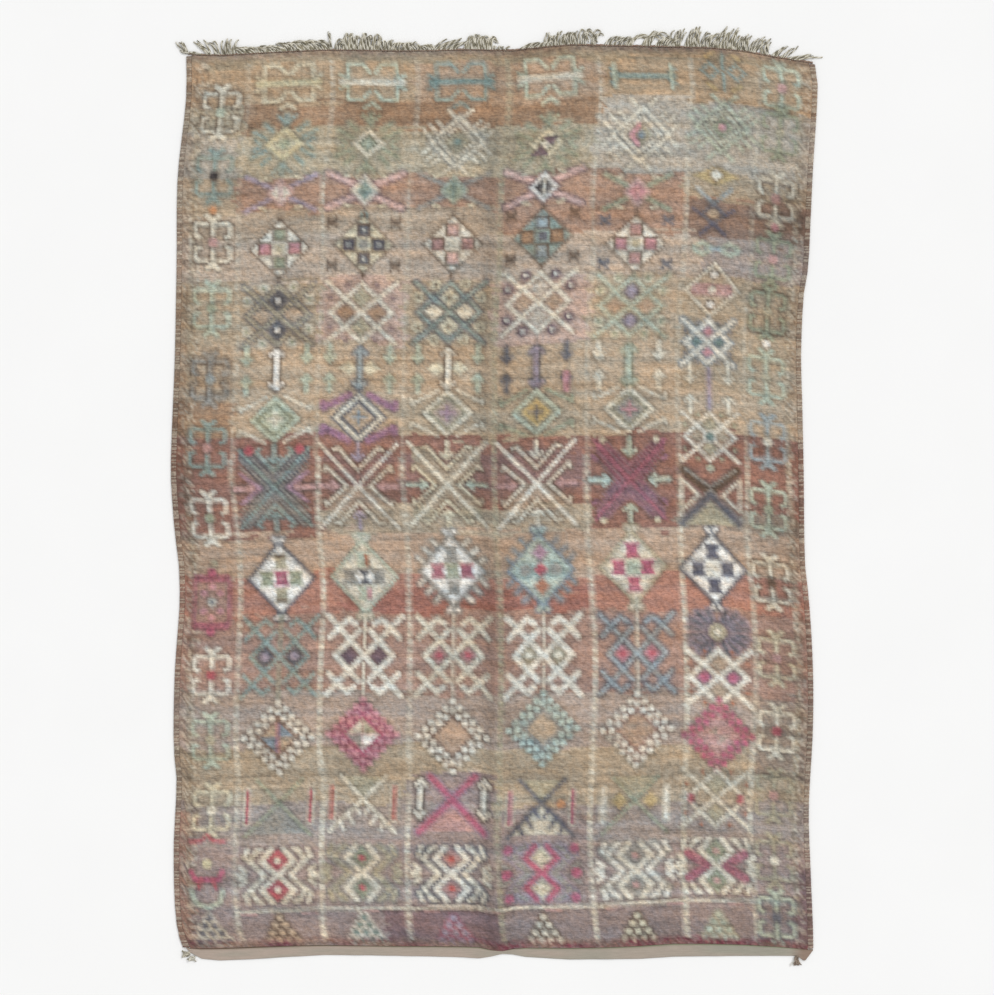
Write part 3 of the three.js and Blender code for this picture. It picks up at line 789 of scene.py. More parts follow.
# The line above the last row, rising to the right, and the triangles of dots
for column in range(33, 216, 22):
    motif = Motif(column, 317.2 - 3.6 * (column - 22) / 187, "none")
    motif.line([(-11, 0.2), (0, -0.3), (11, -0.2)], "ecru", 1)
    motif.line([(-9, 1.2), (-4, 1)], "rose", 0.6)
dot_triangle(C1, 324, "peach_light", "umber")
dot_triangle(C2, 324, "teal", "pale")
dot_triangle(C3, 324, "lilac", "berry")
dot_triangle(C4, 323.4, "ecru", "umber")
dot_triangle(C5, 323.4, "cream", "umber")
dot_triangle(C6, 323.6, "mint", "khaki")

# Borders: the row of each candelabra down the left and the right side, and its wools
LEFT_BORDER = [
    (21, "ecru", "mint", "umber"),
    (44.5, "sea", "black"),
    (69, "ecru", "rose", "umber"),
    (93.4, "mint", "sage"),
    (119.6, "grey", "sky", "umber"),
    (145, "sea", "rose"),
    (171, "pale", "sage"),
    (229, "pale", "crimson"),
    (253, "mint", "khaki"),
    (279, "cream", "ecru"),
]
RIGHT_BORDER = [
    (11, "mint", "rose"),
    (28, "sage", "khaki"),
    (52.5, "ecru", "rose", "umber"),
    (75, "sage", "rose"),
    (95, "sage", "khaki", "umber"),
    (119, "mint", "khaki"),
    (143, "sky", "ecru"),
    (168, "mint", "sage"),
    (195, "ecru", "umber", "umber"),
    (223, "cream", "rose"),
    (250, "ecru", "crimson"),
    (274, "khaki", "rose"),
    (298, "khaki", "ecru"),
    (319, "mint", "slate", "slate"),
]
LEFT_COLUMN, RIGHT_COLUMN = 13.2, 217
for border_column, border in ((LEFT_COLUMN, LEFT_BORDER), (RIGHT_COLUMN, RIGHT_BORDER)):
    for row, *wools in border:
        candelabra(border_column, row, *wools)
Motif(LEFT_COLUMN, 57).dot(0, 0, 1.3, "orange")
Motif(LEFT_COLUMN, 187.5).dot(0, 0, 1.3, "khaki")
Motif(RIGHT_COLUMN, 106.8).dot(0, 0, 1.3, "white")
Motif(RIGHT_COLUMN, 63).dot(0, 0, 1.3, "pink")

# Single motifs low in the left border
motif = Motif(12, 202)
motif.block(0, 0, 6.4, 7.4, "rose_brown")
motif.block(0, 8.8, 6.4, 1.5, "berry")
motif.line([(6.4, 0), (6.4, 8.8)], "berry", 1.1)
motif.dot(0, 10.8, 1.7, "magenta")
for across, down in ((3, 3.4), (0, 5.8)):
    motif.dot(across, down, 1.2, "pink")
motif.dot(0, 0, 1.7, "pale")
motif.dot(0, 0, 0.9, "slate")
motif = Motif(12, 300, "sides")
motif.line([(0, -12), (2.2, -9.8), (6.2, -9.4)], "crimson", 1.3)
motif.line([(0, 4.6), (4.2, 4.6), (5.6, 1.8)], "magenta", 2)
motif.line([(2.2, 4.6), (3.2, 7.8)], "crimson", 1.3)
motif.dot(0, -1.4, 1.7, "straw")
motif = Motif(12, 313, "sides")
motif.line([(5.6, -4.2), (4.4, 0), (0, 2)], "mint", 1.5)
dot_triangle(12, 323.6, "slate", "ecru")

# Overcast edges of the first and the lowest rows
EDGES = [  # rows, how much they cover from the first row on, and their two wools
    (np.s_[:3], (0.9, 0.7, 0.3), "umber_rose", "border_brown"),
    (np.s_[CHART_ROWS - 4 :], (0.4, 0.85, 1.0, 1.0), "wine", "umber_rose"),
]
for place, shares, wool, other in EDGES:
    cover = rng.uniform(0.4, 1.3, (len(shares), CHART_COLUMNS)) * np.array(shares)[:, None]
    cover = cover.clip(0, 1)[..., None]
    run = smooth_noise(len(shares), CHART_COLUMNS, 3, 12, 77)[..., None] * 0.9 + 0.6
    run = run.clip(0, 1)
    dyed = linear(wool) * run + linear(other) * (1 - run)
    dyed = dyed * rng.uniform(0.6, 1.15, cover.shape)
    chart[place] = chart[place] * (1 - cover) + dyed * cover

# Worn pile leans over its neighbours, so the motifs' edges are soft
OWN_SHARE = 0.96
bordered = np.pad(chart, ((1, 1), (1, 1), (0, 0)), mode="edge")
beside = bordered[2:, 1:-1] + bordered[:-2, 1:-1] + bordered[1:-1, 2:] + bordered[1:-1, :-2]
chart = chart * OWN_SHARE + beside * (1 - OWN_SHARE) / 4

# Dust dulls every wool a little
DULLNESS = 0.06
chart += (chart.mean(axis=-1, keepdims=True) - chart) * DULLNESS

# Each row was tied from its own batch, and each knot has faded in its own way
FADED_SHARE, FADED_SHADE = 0.08, 0.82  # some knots have lost more of their light
row_shade = rng.uniform(-1, 1, CHART_ROWS)[:, None] * 0.05
hank_shade = blotches(1.4, 22, 5) * 0.15
patch_shade = blotches(12, 16, 9) * 0.1
fleck_shade = blotches(0.8, 5, 10) * 0.15
knot_shade = rng.uniform(-1, 1, chart_rise.shape) * 0.14
shade = 0.985 + row_shade + hank_shade + patch_shade + fleck_shade + knot_shade
shade[rng.uniform(0, 1, shade.shape) < FADED_SHARE] *= FADED_SHADE
warmth = blotches(2.4, 26, 11) * 0.07
warmth += blotches(4, 6, 12) * 0.04
warmth += rng.uniform(-1, 1, warmth.shape) * 0.05
tint = np.stack([1 + warmth, np.ones_like(warmth), 1 - warmth], axis=-1)

# Painted shade along both sides, along the fold down the middle, along the creases across and in
# patches near the sides
SHADED_SIDE_KNOTS = 8  # width of the painted shade along each side
SIDE_SHADE = np.array([0.2, 0.28, 0.31]) * 0.9  # how much red, green and blue the painted shade takes away
from_side = np.minimum(column_index, KNOTS_ACROSS - column_index)
edge_share = np.clip(1 - from_side / SHADED_SIDE_KNOTS, 0, 1)
painted_shade = 1 - edge_share[..., None] * SIDE_SHADE
FOLDS = [(113.6, 2.8, 0.24), (120.4, 2.6, 0.14)]  # painted shade along the fold down the middle: column, half width in knots, depth
for column, wide, depth in FOLDS:
    painted_shade *= (1 - depth * np.exp(-(((column_index - column) / wide) ** 2)))[..., None]
CREASES = [  # painted shade along the creases across: row at the left edge and at the right edge, first and last column, depth
    (71.6, 71.6, 40, 118, 0.22),
    (72.6, 73.0, 150, 230, 0.26),
    (258.6, 250.0, 0, 230, 0.24),
    (267.2, 266.6, 0, 230, 0.16),
]
for row_left, row_right, first_column, last_column, depth in CREASES:
    crease = row_left + (row_right - row_left) * column_index / KNOTS_ACROSS
    dark = depth * np.exp(-(((row_index - crease) / 0.9) ** 2))
    dark *= (column_index >= first_column) & (column_index < last_column)
    # painted shade of the crease
    painted_shade *= (1 - dark)[..., None]
SHADED_PATCHES = [  # patches of painted shade near the sides: row, column, half height and half width in knots, depth
    (58, 224, 12, 14, 0.34),
    (97, 226, 14, 9, 0.2),
    (160, 3, 22, 8, 0.2),
    (125, 2, 34, 5, 0.2),
    (92, 3, 16, 5, 0.16),
    (222, 222, 40, 12, 0.24),
    (184, 6, 9, 16, 0.13),
    (165, 224, 18, 9, 0.12),
    (315, 4, 26, 12, 0.1),
]
for row, column, tall, wide, depth in SHADED_PATCHES:
    away = ((row_index - row) / tall) ** 2 + ((column_index - column) / wide) ** 2
    painted_shade *= (1 - depth * np.exp(-away))[..., None]
# The knots' own tones and tints, then the painted shade
chart = np.clip(chart * shade[..., None] * tint * painted_shade, 0.0, 1.0)
chart_rise = chart_rise * MOTIF_RISE

# Shape of the cloth, read from the frame's solid
solid = BVHTree.FromObject(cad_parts["rug"], bpy.context.evaluated_depsgraph_get())
rug_low, rug_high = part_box("rug")
OUTSIDE = 0.3  # how far outside the cloth a line starts that looks for its edge
EDGE_WANDER = 0.06  # how far inside its box the cloth's edge may lie
EDGE_MARGIN = 0.002  # how far inside its box the first line runs
SAMPLES = 260
FIRST_GUESS = 0.98  # mean width of the cloth as a share of its box
PASSES = 3  # how often a place is refined between edges that aren't straight
MAP_BORDER = 0.01  # bare rim of a piece's flat map, as a share of it


def reach(start, direction):
    """Where a straight line first meets the cloth."""
    return solid.ray_cast(Vector(start), Vector(direction))[0]


def read_edge(axis, side, height):
    """Places along one side of the cloth and its edge there, left out where a line misses it."""
    along = 1 - axis
    places = np.linspace(rug_low[along] + EDGE_MARGIN, rug_high[along] - EDGE_MARGIN, SAMPLES)
    start = [0, 0, height]
    start[axis] = (rug_high if side > 0 else rug_low)[axis] + side * OUTSIDE
    direction = [0, 0, 0]
    direction[axis] = -side
    known = []
    for start[along] in places:
        met = reach(start, direction)
        if met and abs(met[axis] - start[axis]) < OUTSIDE + EDGE_WANDER:
            known.append((start[along], met[axis]))
    return tuple(np.array(known).T)


left_edge = read_edge(0, -1, CAST_HEIGHT)
right_edge = read_edge(0, 1, CAST_HEIGHT)
top_edge = read_edge(1, 1, CAST_HEIGHT)
free_edge = read_edge(1, -1, CAST_HEIGHT)
pile_edge = read_edge(1, -1, STEP_HEIGHT)


def edge_at(edge, places):
    """Where an edge lies at places along it."""
    return np.interp(places, *edge)


def place_on_cloth(column, row):
    """Frame x and y of places on the chart, which wander with the cloth's four edges."""
    share = 1 - row / KNOTS_ALONG
    x = (column / KNOTS_ACROSS - 0.5) * (rug_high.x - rug_low.x) * FIRST_GUESS
    for _ in range(PASSES):
        y = edge_at(pile_edge, x) * (1 - share) + edge_at(top_edge, x) * share
        left = edge_at(left_edge, y)
        right = edge_at(right_edge, y)
        x = left + (right - left) * column / KNOTS_ACROSS
    return x, y


def heights(x, y):
    """The solid's underside and face above places on the cloth."""
    floors = np.zeros(x.size)
    faces = np.zeros(x.size)
    last = (0.0, FOUNDATION)
    for i, (at_x, at_y) in enumerate(zip(x.ravel(), y.ravel())):
        face = reach((at_x, at_y, 1), (0, 0, -1))
        floor = reach((at_x, at_y, -1), (0, 0, 1))
        if face and floor:
            last = (floor.z, face.z)
        floors[i], faces[i] = last
    return floors.reshape(x.shape), faces.reshape(x.shape)


def grid_faces(rows, columns, first=0, flip=False):
    """Four-sided faces over a grid of points, row by row."""
    index = first + np.arange(rows * columns).reshape(rows, columns)
    corners = [index[:-1, :-1], index[1:, :-1], index[1:, 1:], index[:-1, 1:]]
    if flip:
        corners.reverse()
    return np.stack([corner.ravel() for corner in corners], axis=-1)


def listed(*grids):
    """Places from grids of their numbers, row by row."""
    return np.stack([grid.ravel() for grid in grids], axis=-1)


def map_points(piece, layer, values):
    """A UV map that gives each point its own pair of numbers."""
    mesh = piece.data
    uv_map = mesh.uv_layers.new(name=layer)
    corner_points = np.zeros(len(mesh.loops), dtype=int)
    mesh.loops.foreach_get("vertex_index", corner_points)
    uv_map.data.foreach_set("uv", values[corner_points].ravel())


def flat_map(piece):
    """A map of the piece seen from above, for the colours it keeps when it is exported."""
    count = len(piece.data.vertices)
    points = np.zeros(count * 3)
    piece.data.vertices.foreach_get("co", points)
    points = points.reshape(count, 3)[:, :2]
    low = points.min(axis=0)
    size = (points.max(axis=0) - low).max()
    map_points(piece, "OFBake", MAP_BORDER + (points - low) / size * (1 - 2 * MAP_BORDER))


def add_piece(name, points, faces):
    """A new mesh object from points and faces, its place in its mesh."""
    mesh = bpy.data.meshes.new(name)
    mesh.from_pydata([tuple(point) for point in points], [], [tuple(f) for f in faces])
    mesh.validate()
    piece = bpy.data.objects.new(name, mesh)
    bpy.context.scene.collection.objects.link(piece)
    flat_map(piece)
    return piece


def rim_of(rows, columns):
    """Indices round the rim of a grid, in order, against the clock seen from above."""
    index = np.arange(rows * columns).reshape(rows, columns)
    sides = [index[:-1, 0], index[-1, :-1], index[:0:-1, -1], index[0, :0:-1]]
    return np.concatenate(sides)


def paint(piece, domain, colours):
    """The piece's dyes, one for each point or for each corner of a face."""
    painted = piece.data.color_attributes.new("dye", "FLOAT_COLOR", domain)
    rgba = np.ones((len(colours), 4))
    rgba[:, :3] = colours
    painted.data.foreach_set("color", rgba.ravel())


def paint_faces(piece, colours):
    """One dye for each face."""
    counts = np.zeros(len(piece.data.polygons), dtype=int)
    piece.data.polygons.foreach_get("loop_total", counts)
    paint(piece, "CORNER", np.repeat(colours, counts, axis=0))


# Pile: one face for each knot between the side cords, walls down to the foundation
UNDER_CELL = 10  # coarse cells of the hidden underside, in knots
SHOULDER = 0.0016  # how far the outermost knots lean down
LEAST_PILE = 0.0012  # height of the pile where it is worn most


def under_cells(limit):
    """The lines between coarse cells, the last cell cut short."""
    return [*range(0, limit, UNDER_CELL), limit]


def build_pile():
    """A closed mat: knots on top, a wall round the rim and a coarse underside."""
    columns = np.arange(CORD_KNOTS, KNOTS_ACROSS - CORD_KNOTS + 1)
    rows = np.arange(KNOTS_ALONG + 1)
    wide, deep = columns.size, rows.size
    column, row = np.meshgrid(columns.astype(float), rows.astype(float))
    inner = np.s_[1:-1, 1:-1]
    stray = rng.uniform(-KNOT_STRAY, KNOT_STRAY, (2, deep, wide))
    counted = listed(column, row)
    column[inner] += stray[0][inner]
    row[inner] += stray[1][inner]
    x, y = place_on_cloth(column, row)
    floor, face = heights(x, y)
    rise = chart_rise[:, CORD_KNOTS : CORD_KNOTS + wide]
    z = face + rise + rng.uniform(-KNOT_RISE, KNOT_RISE, x.shape)
    z[0] = face[0] - SHOULDER / 2
    z[-1] = face[-1] - SHOULDER / 2
    z[:, 0] -= SHOULDER
    z[:, -1] -= SHOULDER
    z = np.maximum(z, floor + FOUNDATION + LEAST_PILE)
    top = listed(x, y, z)
    rim = rim_of(deep, wide)
    under = listed(x, y, floor + FOUNDATION)
    column_lines = under_cells(wide - 1)
    row_lines = under_cells(deep - 1)
    used = set(rim.tolist())
    used.update(r * wide + c for r in row_lines for c in column_lines)
    used = sorted(used)
    place = {old: top.shape[0] + new for new, old in enumerate(used)}
    points = np.concatenate([top, under[used]])
    faces = grid_faces(deep, wide).tolist()
    after = np.roll(rim, -1)
    faces += [(place[a], place[b], b, a) for a, b in zip(rim.tolist(), after.tolist())]
    for r0, r1 in zip(row_lines, row_lines[1:]):
        for c0, c1 in zip(column_lines, column_lines[1:]):
            north_side = range(c0, c1) if r0 == 0 else [c0]
            east_side = range(r0, r1) if c1 == wide - 1 else [r0]
            south_side = range(c1, c0, -1) if r1 == deep - 1 else [c1]
            west_side = range(r1, r0, -1) if c0 == 0 else [r1]
            loop = [r0 * wide + c for c in north_side]
            loop += [r * wide + c1 for r in east_side]
            loop += [r1 * wide + c for c in south_side]
            loop += [r * wide + c0 for r in west_side]
            faces.append(tuple(place[old] for old in loop))
    pile = add_piece("pile", points, faces)
    dyes = chart[:, CORD_KNOTS : CORD_KNOTS + wide].reshape(-1, 3)
    paint(pile, "POINT", np.concatenate([dyes, dyes[used]]))
    map_points(pile, "knots", np.concatenate([counted, counted[used]]))
    return pile


pile = build_pile()

# Foundation: warp and weft under the pile, the pattern showing through on its underside
BACK_STEP = 2  # knots to one cell of the back
WEFT_RIDGE = 0.0002
BARE_SHARE = 0.25  # how much of the bare warp and weft shows between the knots' backs


def sheet_piece(name, x, y, low, high):
    """A closed sheet over a grid of places, from its low to its high side."""
    deep, wide = x.shape
    count = deep * wide
    rim = rim_of(deep, wide)
    after = np.roll(rim, -1)
    walls = np.stack([rim + count, after + count, after, rim], axis=-1)
    upper, lower = grid_faces(deep, wide), grid_faces(deep, wide, count, flip=True)
    faces = np.concatenate([upper, lower, walls])
    points = np.concatenate([listed(x, y, high), listed(x, y, low)])
    return add_piece(name, points, faces.tolist())


def build_foundation():
    """A closed sheet, undyed where it meets the pile and dyed by the knots' backs below."""
    last = KNOTS_ACROSS - CORD_KNOTS
    columns = np.arange(CORD_KNOTS, last + 1, BACK_STEP, dtype=float)
    rows = np.arange(0, KNOTS_ALONG + 1, BACK_STEP, dtype=float)
    column, row = np.meshgrid(columns, rows)
    x, y = place_on_cloth(column, row)
    floor, _ = heights(x, y)
    floor[0] = floor[-1] = 0.0
    weft = np.where(np.arange(rows.size) % 2, WEFT_RIDGE, 0.0)[:, None]
    low = floor + weft * np.ones_like(x)
    back = sheet_piece("foundation", x, y, low, floor + FOUNDATION)
    wool = linear("ecru")
    seen = chart[::BACK_STEP, CORD_KNOTS : last + 1 : BACK_STEP].reshape(-1, 3)
    below = seen * (1 - BARE_SHARE) + wool * BARE_SHARE
    paint(back, "POINT", np.concatenate([np.tile(wool, (len(below), 1)), below]))
    map_points(back, "knots", np.tile(listed(column, row), (2, 1)))
    return back


foundation = build_foundation()

# Side cords: wool overcast round the outermost warps, with the turns of the wrapping
CORD_STEPS = 660
CORD_SIDES = 12
CORD_HEIGHT = 0.0062
WRAPS_PER_KNOT = 1.25
WRAP_DEPTH = 0.0003
WRAP_LEAN = 0.6  # how much the turns slant round the cord
CORD_TUCK = 0.3  # how far a cord tucks under the pile, in knots
CORD_START = 0.4  # how far from the cloth's ends a cord starts and stops, in knots
LIGHT_STITCHES = 0.4  # share of the turns in a lighter wool


def build_side_cord(name, first_column, last_column, wool, seed):
    """A closed cord between two columns of knots, dyed in part by the pile beside it."""
    rows = np.linspace(CORD_START, KNOTS_ALONG - CORD_START, CORD_STEPS)
    inner_x, y = place_on_cloth(np.full(CORD_STEPS, float(first_column)), rows)
    outer_x, _ = place_on_cloth(np.full(CORD_STEPS, float(last_column)), rows)
    middle_x = (inner_x + outer_x) / 2
    half = np.abs(outer_x - inner_x) / 2
    floor, _ = heights(middle_x, y)
    turns = np.linspace(0, 2 * np.pi, CORD_SIDES, endpoint=False)
    lean = turns[None, :] * WRAP_LEAN
    wrap = np.sin(2 * np.pi * rows[:, None] * WRAPS_PER_KNOT + lean) * WRAP_DEPTH
    x = middle_x[:, None] + np.cos(turns) * (half[:, None] + wrap)
    z = floor[:, None] + CORD_HEIGHT / 2 + np.sin(turns) * (CORD_HEIGHT / 2 + wrap)
    z = np.maximum(z, floor[:, None])
    points = listed(x, np.broadcast_to(y[:, None], x.shape), z)
    ring = np.arange(CORD_SIDES)
    faces = []
    for step in range(CORD_STEPS - 1):
        near = step * CORD_SIDES + ring
        far = near + CORD_SIDES
        faces += np.stack([near, np.roll(near, -1), np.roll(far, -1), far], axis=-1).tolist()
    faces.append(ring[::-1].tolist())
    faces.append((ring + (CORD_STEPS - 1) * CORD_SIDES).tolist())
    cord = add_piece(name, points, faces)
    draw = np.random.default_rng(seed)
    beside = chart[:, int((first_column * 3 + last_column) / 4)]
    dyes = np.stack([np.interp(rows, np.arange(CHART_ROWS), part) for part in beside.T], axis=-1)
    dyes = dyes * 0.6 + linear(wool) * 0.4
    dyes *= 1 + smooth_noise(CORD_STEPS, 2, 30, 1, seed)[:, :1] * 0.12
    stitches = draw.uniform(0, 1, (CORD_STEPS, 1)) < LIGHT_STITCHES
    dyes = np.where(stitches, dyes * 0.7 + linear("ecru") * 0.3, dyes * 0.9)
    colours = np.repeat(dyes[:-1], CORD_SIDES, axis=0)
    colours *= draw.uniform(0.72, 1.12, (len(colours), 1))
    paint_faces(cord, np.concatenate([colours, dyes[:1], dyes[-1:]]))
    return cord


last_cord = KNOTS_ACROSS - CORD_KNOTS - CORD_TUCK
cord_left = build_side_cord("side_cord_left", CORD_KNOTS + CORD_TUCK, 0, "border_brown", 31)
cord_right = build_side_cord("side_cord_right", last_cord, KNOTS_ACROSS, "umber_rose", 37)

# Flat woven band below the pile, thin enough to ripple
BAND_COLUMNS = 420
BAND_ROWS = 12
RIPPLE = 0.0016  # how high the free edge ripples
BAND_INSET = 0.0008
WARP_SPACING, WEFT_SPACING = 0.0042, 0.0024  # ribs of the flat weave
CORNER_X, CORNER_Y = 0.8604, -1.2264  # where the worn right corner begins
CORNER_SLOPE = 1.3
BAND_LEAST = 0.0012  # depth of the band where it is worn away
FOLD_RISE = 0.0009  # height of the soft fold along the band
FOLD_PLACE, FOLD_WIDTH = 0.45, 0.16  # as shares of its depth


def build_band():
    """A closed sheet that hangs on the pile's lower end and is worn round at the right."""
    u, v = np.meshgrid(np.linspace(0, 1, BAND_COLUMNS), np.linspace(0, 1, BAND_ROWS))
    x = rug_low.x + (rug_high.x - rug_low.x) * u
    for _ in range(PASSES):
        upper = edge_at(pile_edge, x)
        lower = np.maximum(edge_at(free_edge, x), CORNER_Y - CORNER_SLOPE * (CORNER_X - x))
        lower = np.minimum(lower, upper - BAND_LEAST)
        y = upper + (lower - upper) * v
        left = edge_at(left_edge, y) + BAND_INSET
        right = edge_at(right_edge, y) - BAND_INSET
        x = left + (right - left) * u
    ripple = np.sin(x * 46) + np.sin(x * 83 + 1.3) + np.sin(x * 21 + v * 2)
    low = RIPPLE * np.clip(ripple / 3, 0, 1) * v * v
    fold = FOLD_RISE * np.exp(-(((v - FOLD_PLACE) / FOLD_WIDTH) ** 2))
    band = sheet_piece("flat_band", x, y, low, low + BAND_THICK + fold)
    cells = (BAND_ROWS - 1) * (BAND_COLUMNS - 1)
    right_share = np.linspace(0, 1, BAND_COLUMNS - 1)[:, None]
    blush = smooth_noise(BAND_ROWS - 1, BAND_COLUMNS - 1, 6, 30, 41)[..., None] * 0.5 + 0.5
    blush = np.clip(blush + 0.5 - 0.9 * right_share, 0, 1)
    wool = linear("band_pink") * blush + linear("band_green") * (1 - blush)
    edge = np.exp(-((np.arange(BAND_ROWS - 1) / 0.9) ** 2))[:, None, None]
    shadow = linear("umber") * (1 - right_share) + linear("moss") * right_share
    wool = wool * (1 - edge) + shadow * edge
    corner = np.clip((right_share - 0.965) / 0.02, 0, 1) * 0.8
    wool = wool * (1 - corner) + linear("umber_rose") * corner
    colours = np.tile(linear("band_green"), (len(band.data.polygons), 1))
    colours[: 2 * cells] = np.tile(wool.reshape(-1, 3), (2, 1))
    paint_faces(band, colours)
    return band


flat_band = build_band()

# Plied warp ends: the fringe and the small knots at the lower corners
CENTRE_SHIFT = -0.0009  # the pile's centre line, from which the tufts are counted
STRIP_GAP = 0.0003  # between the cloth's end and the strip that holds the roots
STRIP_DEPTH = 0.007
STRIP_HEIGHT = 0.0045
STRIP_INSET = 0.012
STRIP_STEP = 0.0024
STRAND_WIDTH = 0.0054
STRAND_TIP = 0.7  # width of a strand's tip as a share of its root's
STRAND_LIFT = 0.0009  # how high a strand arches off the floor
STRAND_STACK = 0.0014  # how much higher one strand lies than the one beneath it
BEND_LEAN = 0.35  # how much of a tuft's lean its bend has
TALL_RANGE = (0.72, 1.06)  # how a strand's length differs from its tuft's
TILT = 0.011  # how far a strand's tip strays sideways
PLY_SIDES = 8
PLY_TURN = 0.024  # length of one turn of the two plies
PLY_WAIST, PLY_BULGE = 0.66, 0.34  # the yarn's radius between its plies, and what they add
RING_STEP = 0.0021  # length of yarn between two rings of its mesh
SWAY = 0.0016
WOUND_TURNS = 5  # turns of yarn about a knot at a corner
WOUND_THICK = 0.34  # yarn of a knot as a share of its height
WOUND_POINTS = 25  # points that bend the yarn round a turn
CORE_THICK = 0.62
CORE_POINTS = 9

# Tufts: first and last root along the top end, height of the bend and of the tip, and how
# far the tip leans, in millimetres, then the number of strands. A bend that lies well above
# its tip makes a loop.
TUFTS = [
    (-838, -826, 24, 36, -12, 4),
    (-830, -790, 4, 6, -12, 6),
    (-775, -764, 26, 42, -28, 4),
    (-752, -742, 48, 30, -22, 3),
    (-735, -700, 34, 44, 4, 9),
    (-690, -620, 22, 12, -30, 17),
    (-620, -560, 18, 14, -34, 15),
    (-560, -510, 30, 18, -26, 14),
    (-506, -440, 34, 22, -30, 17),
    (-444, -438, 26, 52, -4, 2),
    (-430, -418, 50, 6, 26, 3),
    (-410, -310, 60, 34, 10, 28),
    (-310, -276, 34, 26, 10, 8),
    (-282, -222, 30, 16, 16, 14),
    (-222, -160, 18, 12, -20, 13),
    (-170, -105, 18, 30, 50, 9),
    (-80, -10, 60, 22, 20, 20),
    (-4, 30, 14, 10, 8, 6),
    (70, 136, 12, 18, 30, 11),
    (136, 222, 34, 36, 12, 24),
    (226, 246, 76, 6, 36, 4),
    (262, 272, 54, 34, 26, 3),
    (299, 350, 24, 22, 34, 8),
    (356, 370, 46, 22, 62, 4),
    (400, 420, 70, 10, 58, 6),
    (436, 470, 26, 24, 30, 6),
    (470, 500, 36, 46, 22, 8),
    (515, 556, 40, 52, 16, 11),
    (556, 590, 40, 34, 24, 8),
    (590, 640, 40, 56, 24, 14),
    (640, 690, 36, 44, 18, 13),
    (692, 704, 26, 42, 40, 4),
    (720, 740, 30, 40, 6, 6),
    (748, 762, 12, 30, 34, 4),
    (772, 784, 12, 30, 28, 4),
    (792, 816, 6, 10, 60, 5),
]


class Yarn:
    """Points, faces and face colours of many cords that end up in one piece."""

    def __init__(self):
        self.points = []
        self.faces = []
        self.colours = []

    def add_cord(self, path, widths, flatness, dyes, start=0.0):
        """A cord of two plies along a path, turning as it goes."""
        path = np.asarray(path, dtype=float)
        count = len(path)
        ahead = np.gradient(path, axis=0)
        ahead /= np.linalg.norm(ahead, axis=1)[:, None]
        sideways = np.cross(ahead, (0.0, 0.0, 1.0))
        sideways /= np.maximum(np.linalg.norm(sideways, axis=1), 1e-6)[:, None]
        upright = np.cross(sideways, ahead)
        steps = np.linalg.norm(np.diff(path, axis=0), axis=1)
        walked = np.concatenate([[0], np.cumsum(steps)])
        turn = 2 * np.pi * walked / PLY_TURN + start
        first = len(self.points)
        for side in range(PLY_SIDES):
            angle = 2 * np.pi * side / PLY_SIDES
            radius = widths / 2 * (PLY_WAIST + PLY_BULGE * abs(math.cos(angle)) ** 1.5)
            out = np.cos(angle + turn) * radius
            up = np.sin(angle + turn) * radius * flatness
            ring = path + sideways * out[:, None] + upright * up[:, None]
            self.points += ring.tolist()
        for side in range(PLY_SIDES):
            near = first + side * count
            other = first + (side + 1) % PLY_SIDES * count
            dye = dyes[0] if math.cos(2 * np.pi * (side + 0.5) / PLY_SIDES) > 0 else dyes[1]
            for i in range(count - 1):
                self.faces.append((near + i, near + i + 1, other + i + 1, other + i))
                self.colours.append(dye)
        ends = [first + side * count for side in range(PLY_SIDES)]
        self.faces += [tuple(ends), tuple(i + count - 1 for i in reversed(ends))]
        self.colours += [dyes[0], dyes[1]]

    def piece(self, name):
        """The cords as one object, none of it below the floor."""
        points = np.array(self.points)
        points[:, 2] = np.maximum(points[:, 2], 0.0)
        made = add_piece(name, points, self.faces)
        paint_faces(made, np.array(self.colours))
        return made


def strip_middle(x):
    """The middle of the strip that holds the strands' roots."""
    return edge_at(top_edge, x) + STRIP_GAP + STRIP_DEPTH / 2


def bezier(root, bend, tip):
    """Places along a bent strand, a fixed step apart."""
    root, bend, tip = (np.array(place, dtype=float) for place in (root, bend, tip))
    reach_out = np.linalg.norm(bend - root) + np.linalg.norm(tip - bend)
    t = np.linspace(0, 1, max(8, int(reach_out / RING_STEP)))[:, None]
    return root * (1 - t) ** 2 + 2 * bend * t * (1 - t) + tip * t**2


def strand_dyes(draw):
    """The light ply of a strand and its greyer one, darkened further as painted shade between
    the strands.
    """
    light = linear("pale") * draw.uniform(0.78, 1.05)
    dull = linear("khaki") * draw.uniform(0.45, 0.95)
    return light, dull


def add_strand(yarn, root, bend, tip, dyes, draw, raised=0.0):
    """A strand that lies on the floor and sways a little about its bent path."""
    flat_path = bezier(root, bend, tip)
    share = np.linspace(0, 1, len(flat_path))
    across_path = np.gradient(flat_path, axis=0)
    across_path = np.stack([across_path[:, 1], -across_path[:, 0]], axis=-1)
    across_path /= np.linalg.norm(across_path, axis=1)[:, None]
    sway = SWAY * np.sin(share * draw.uniform(4, 9) + draw.uniform(0, 6)) * share
    flat_path = flat_path + across_path * sway[:, None]
    widths = STRAND_WIDTH * (1 + (STRAND_TIP - 1) * share**3)
    lift = widths / 2 + (raised + STRAND_LIFT) * np.sin(math.pi * share) ** 2
    path = np.column_stack([flat_path, lift])
    yarn.add_cord(path, widths, 1.0, dyes, draw.uniform(0, 6))


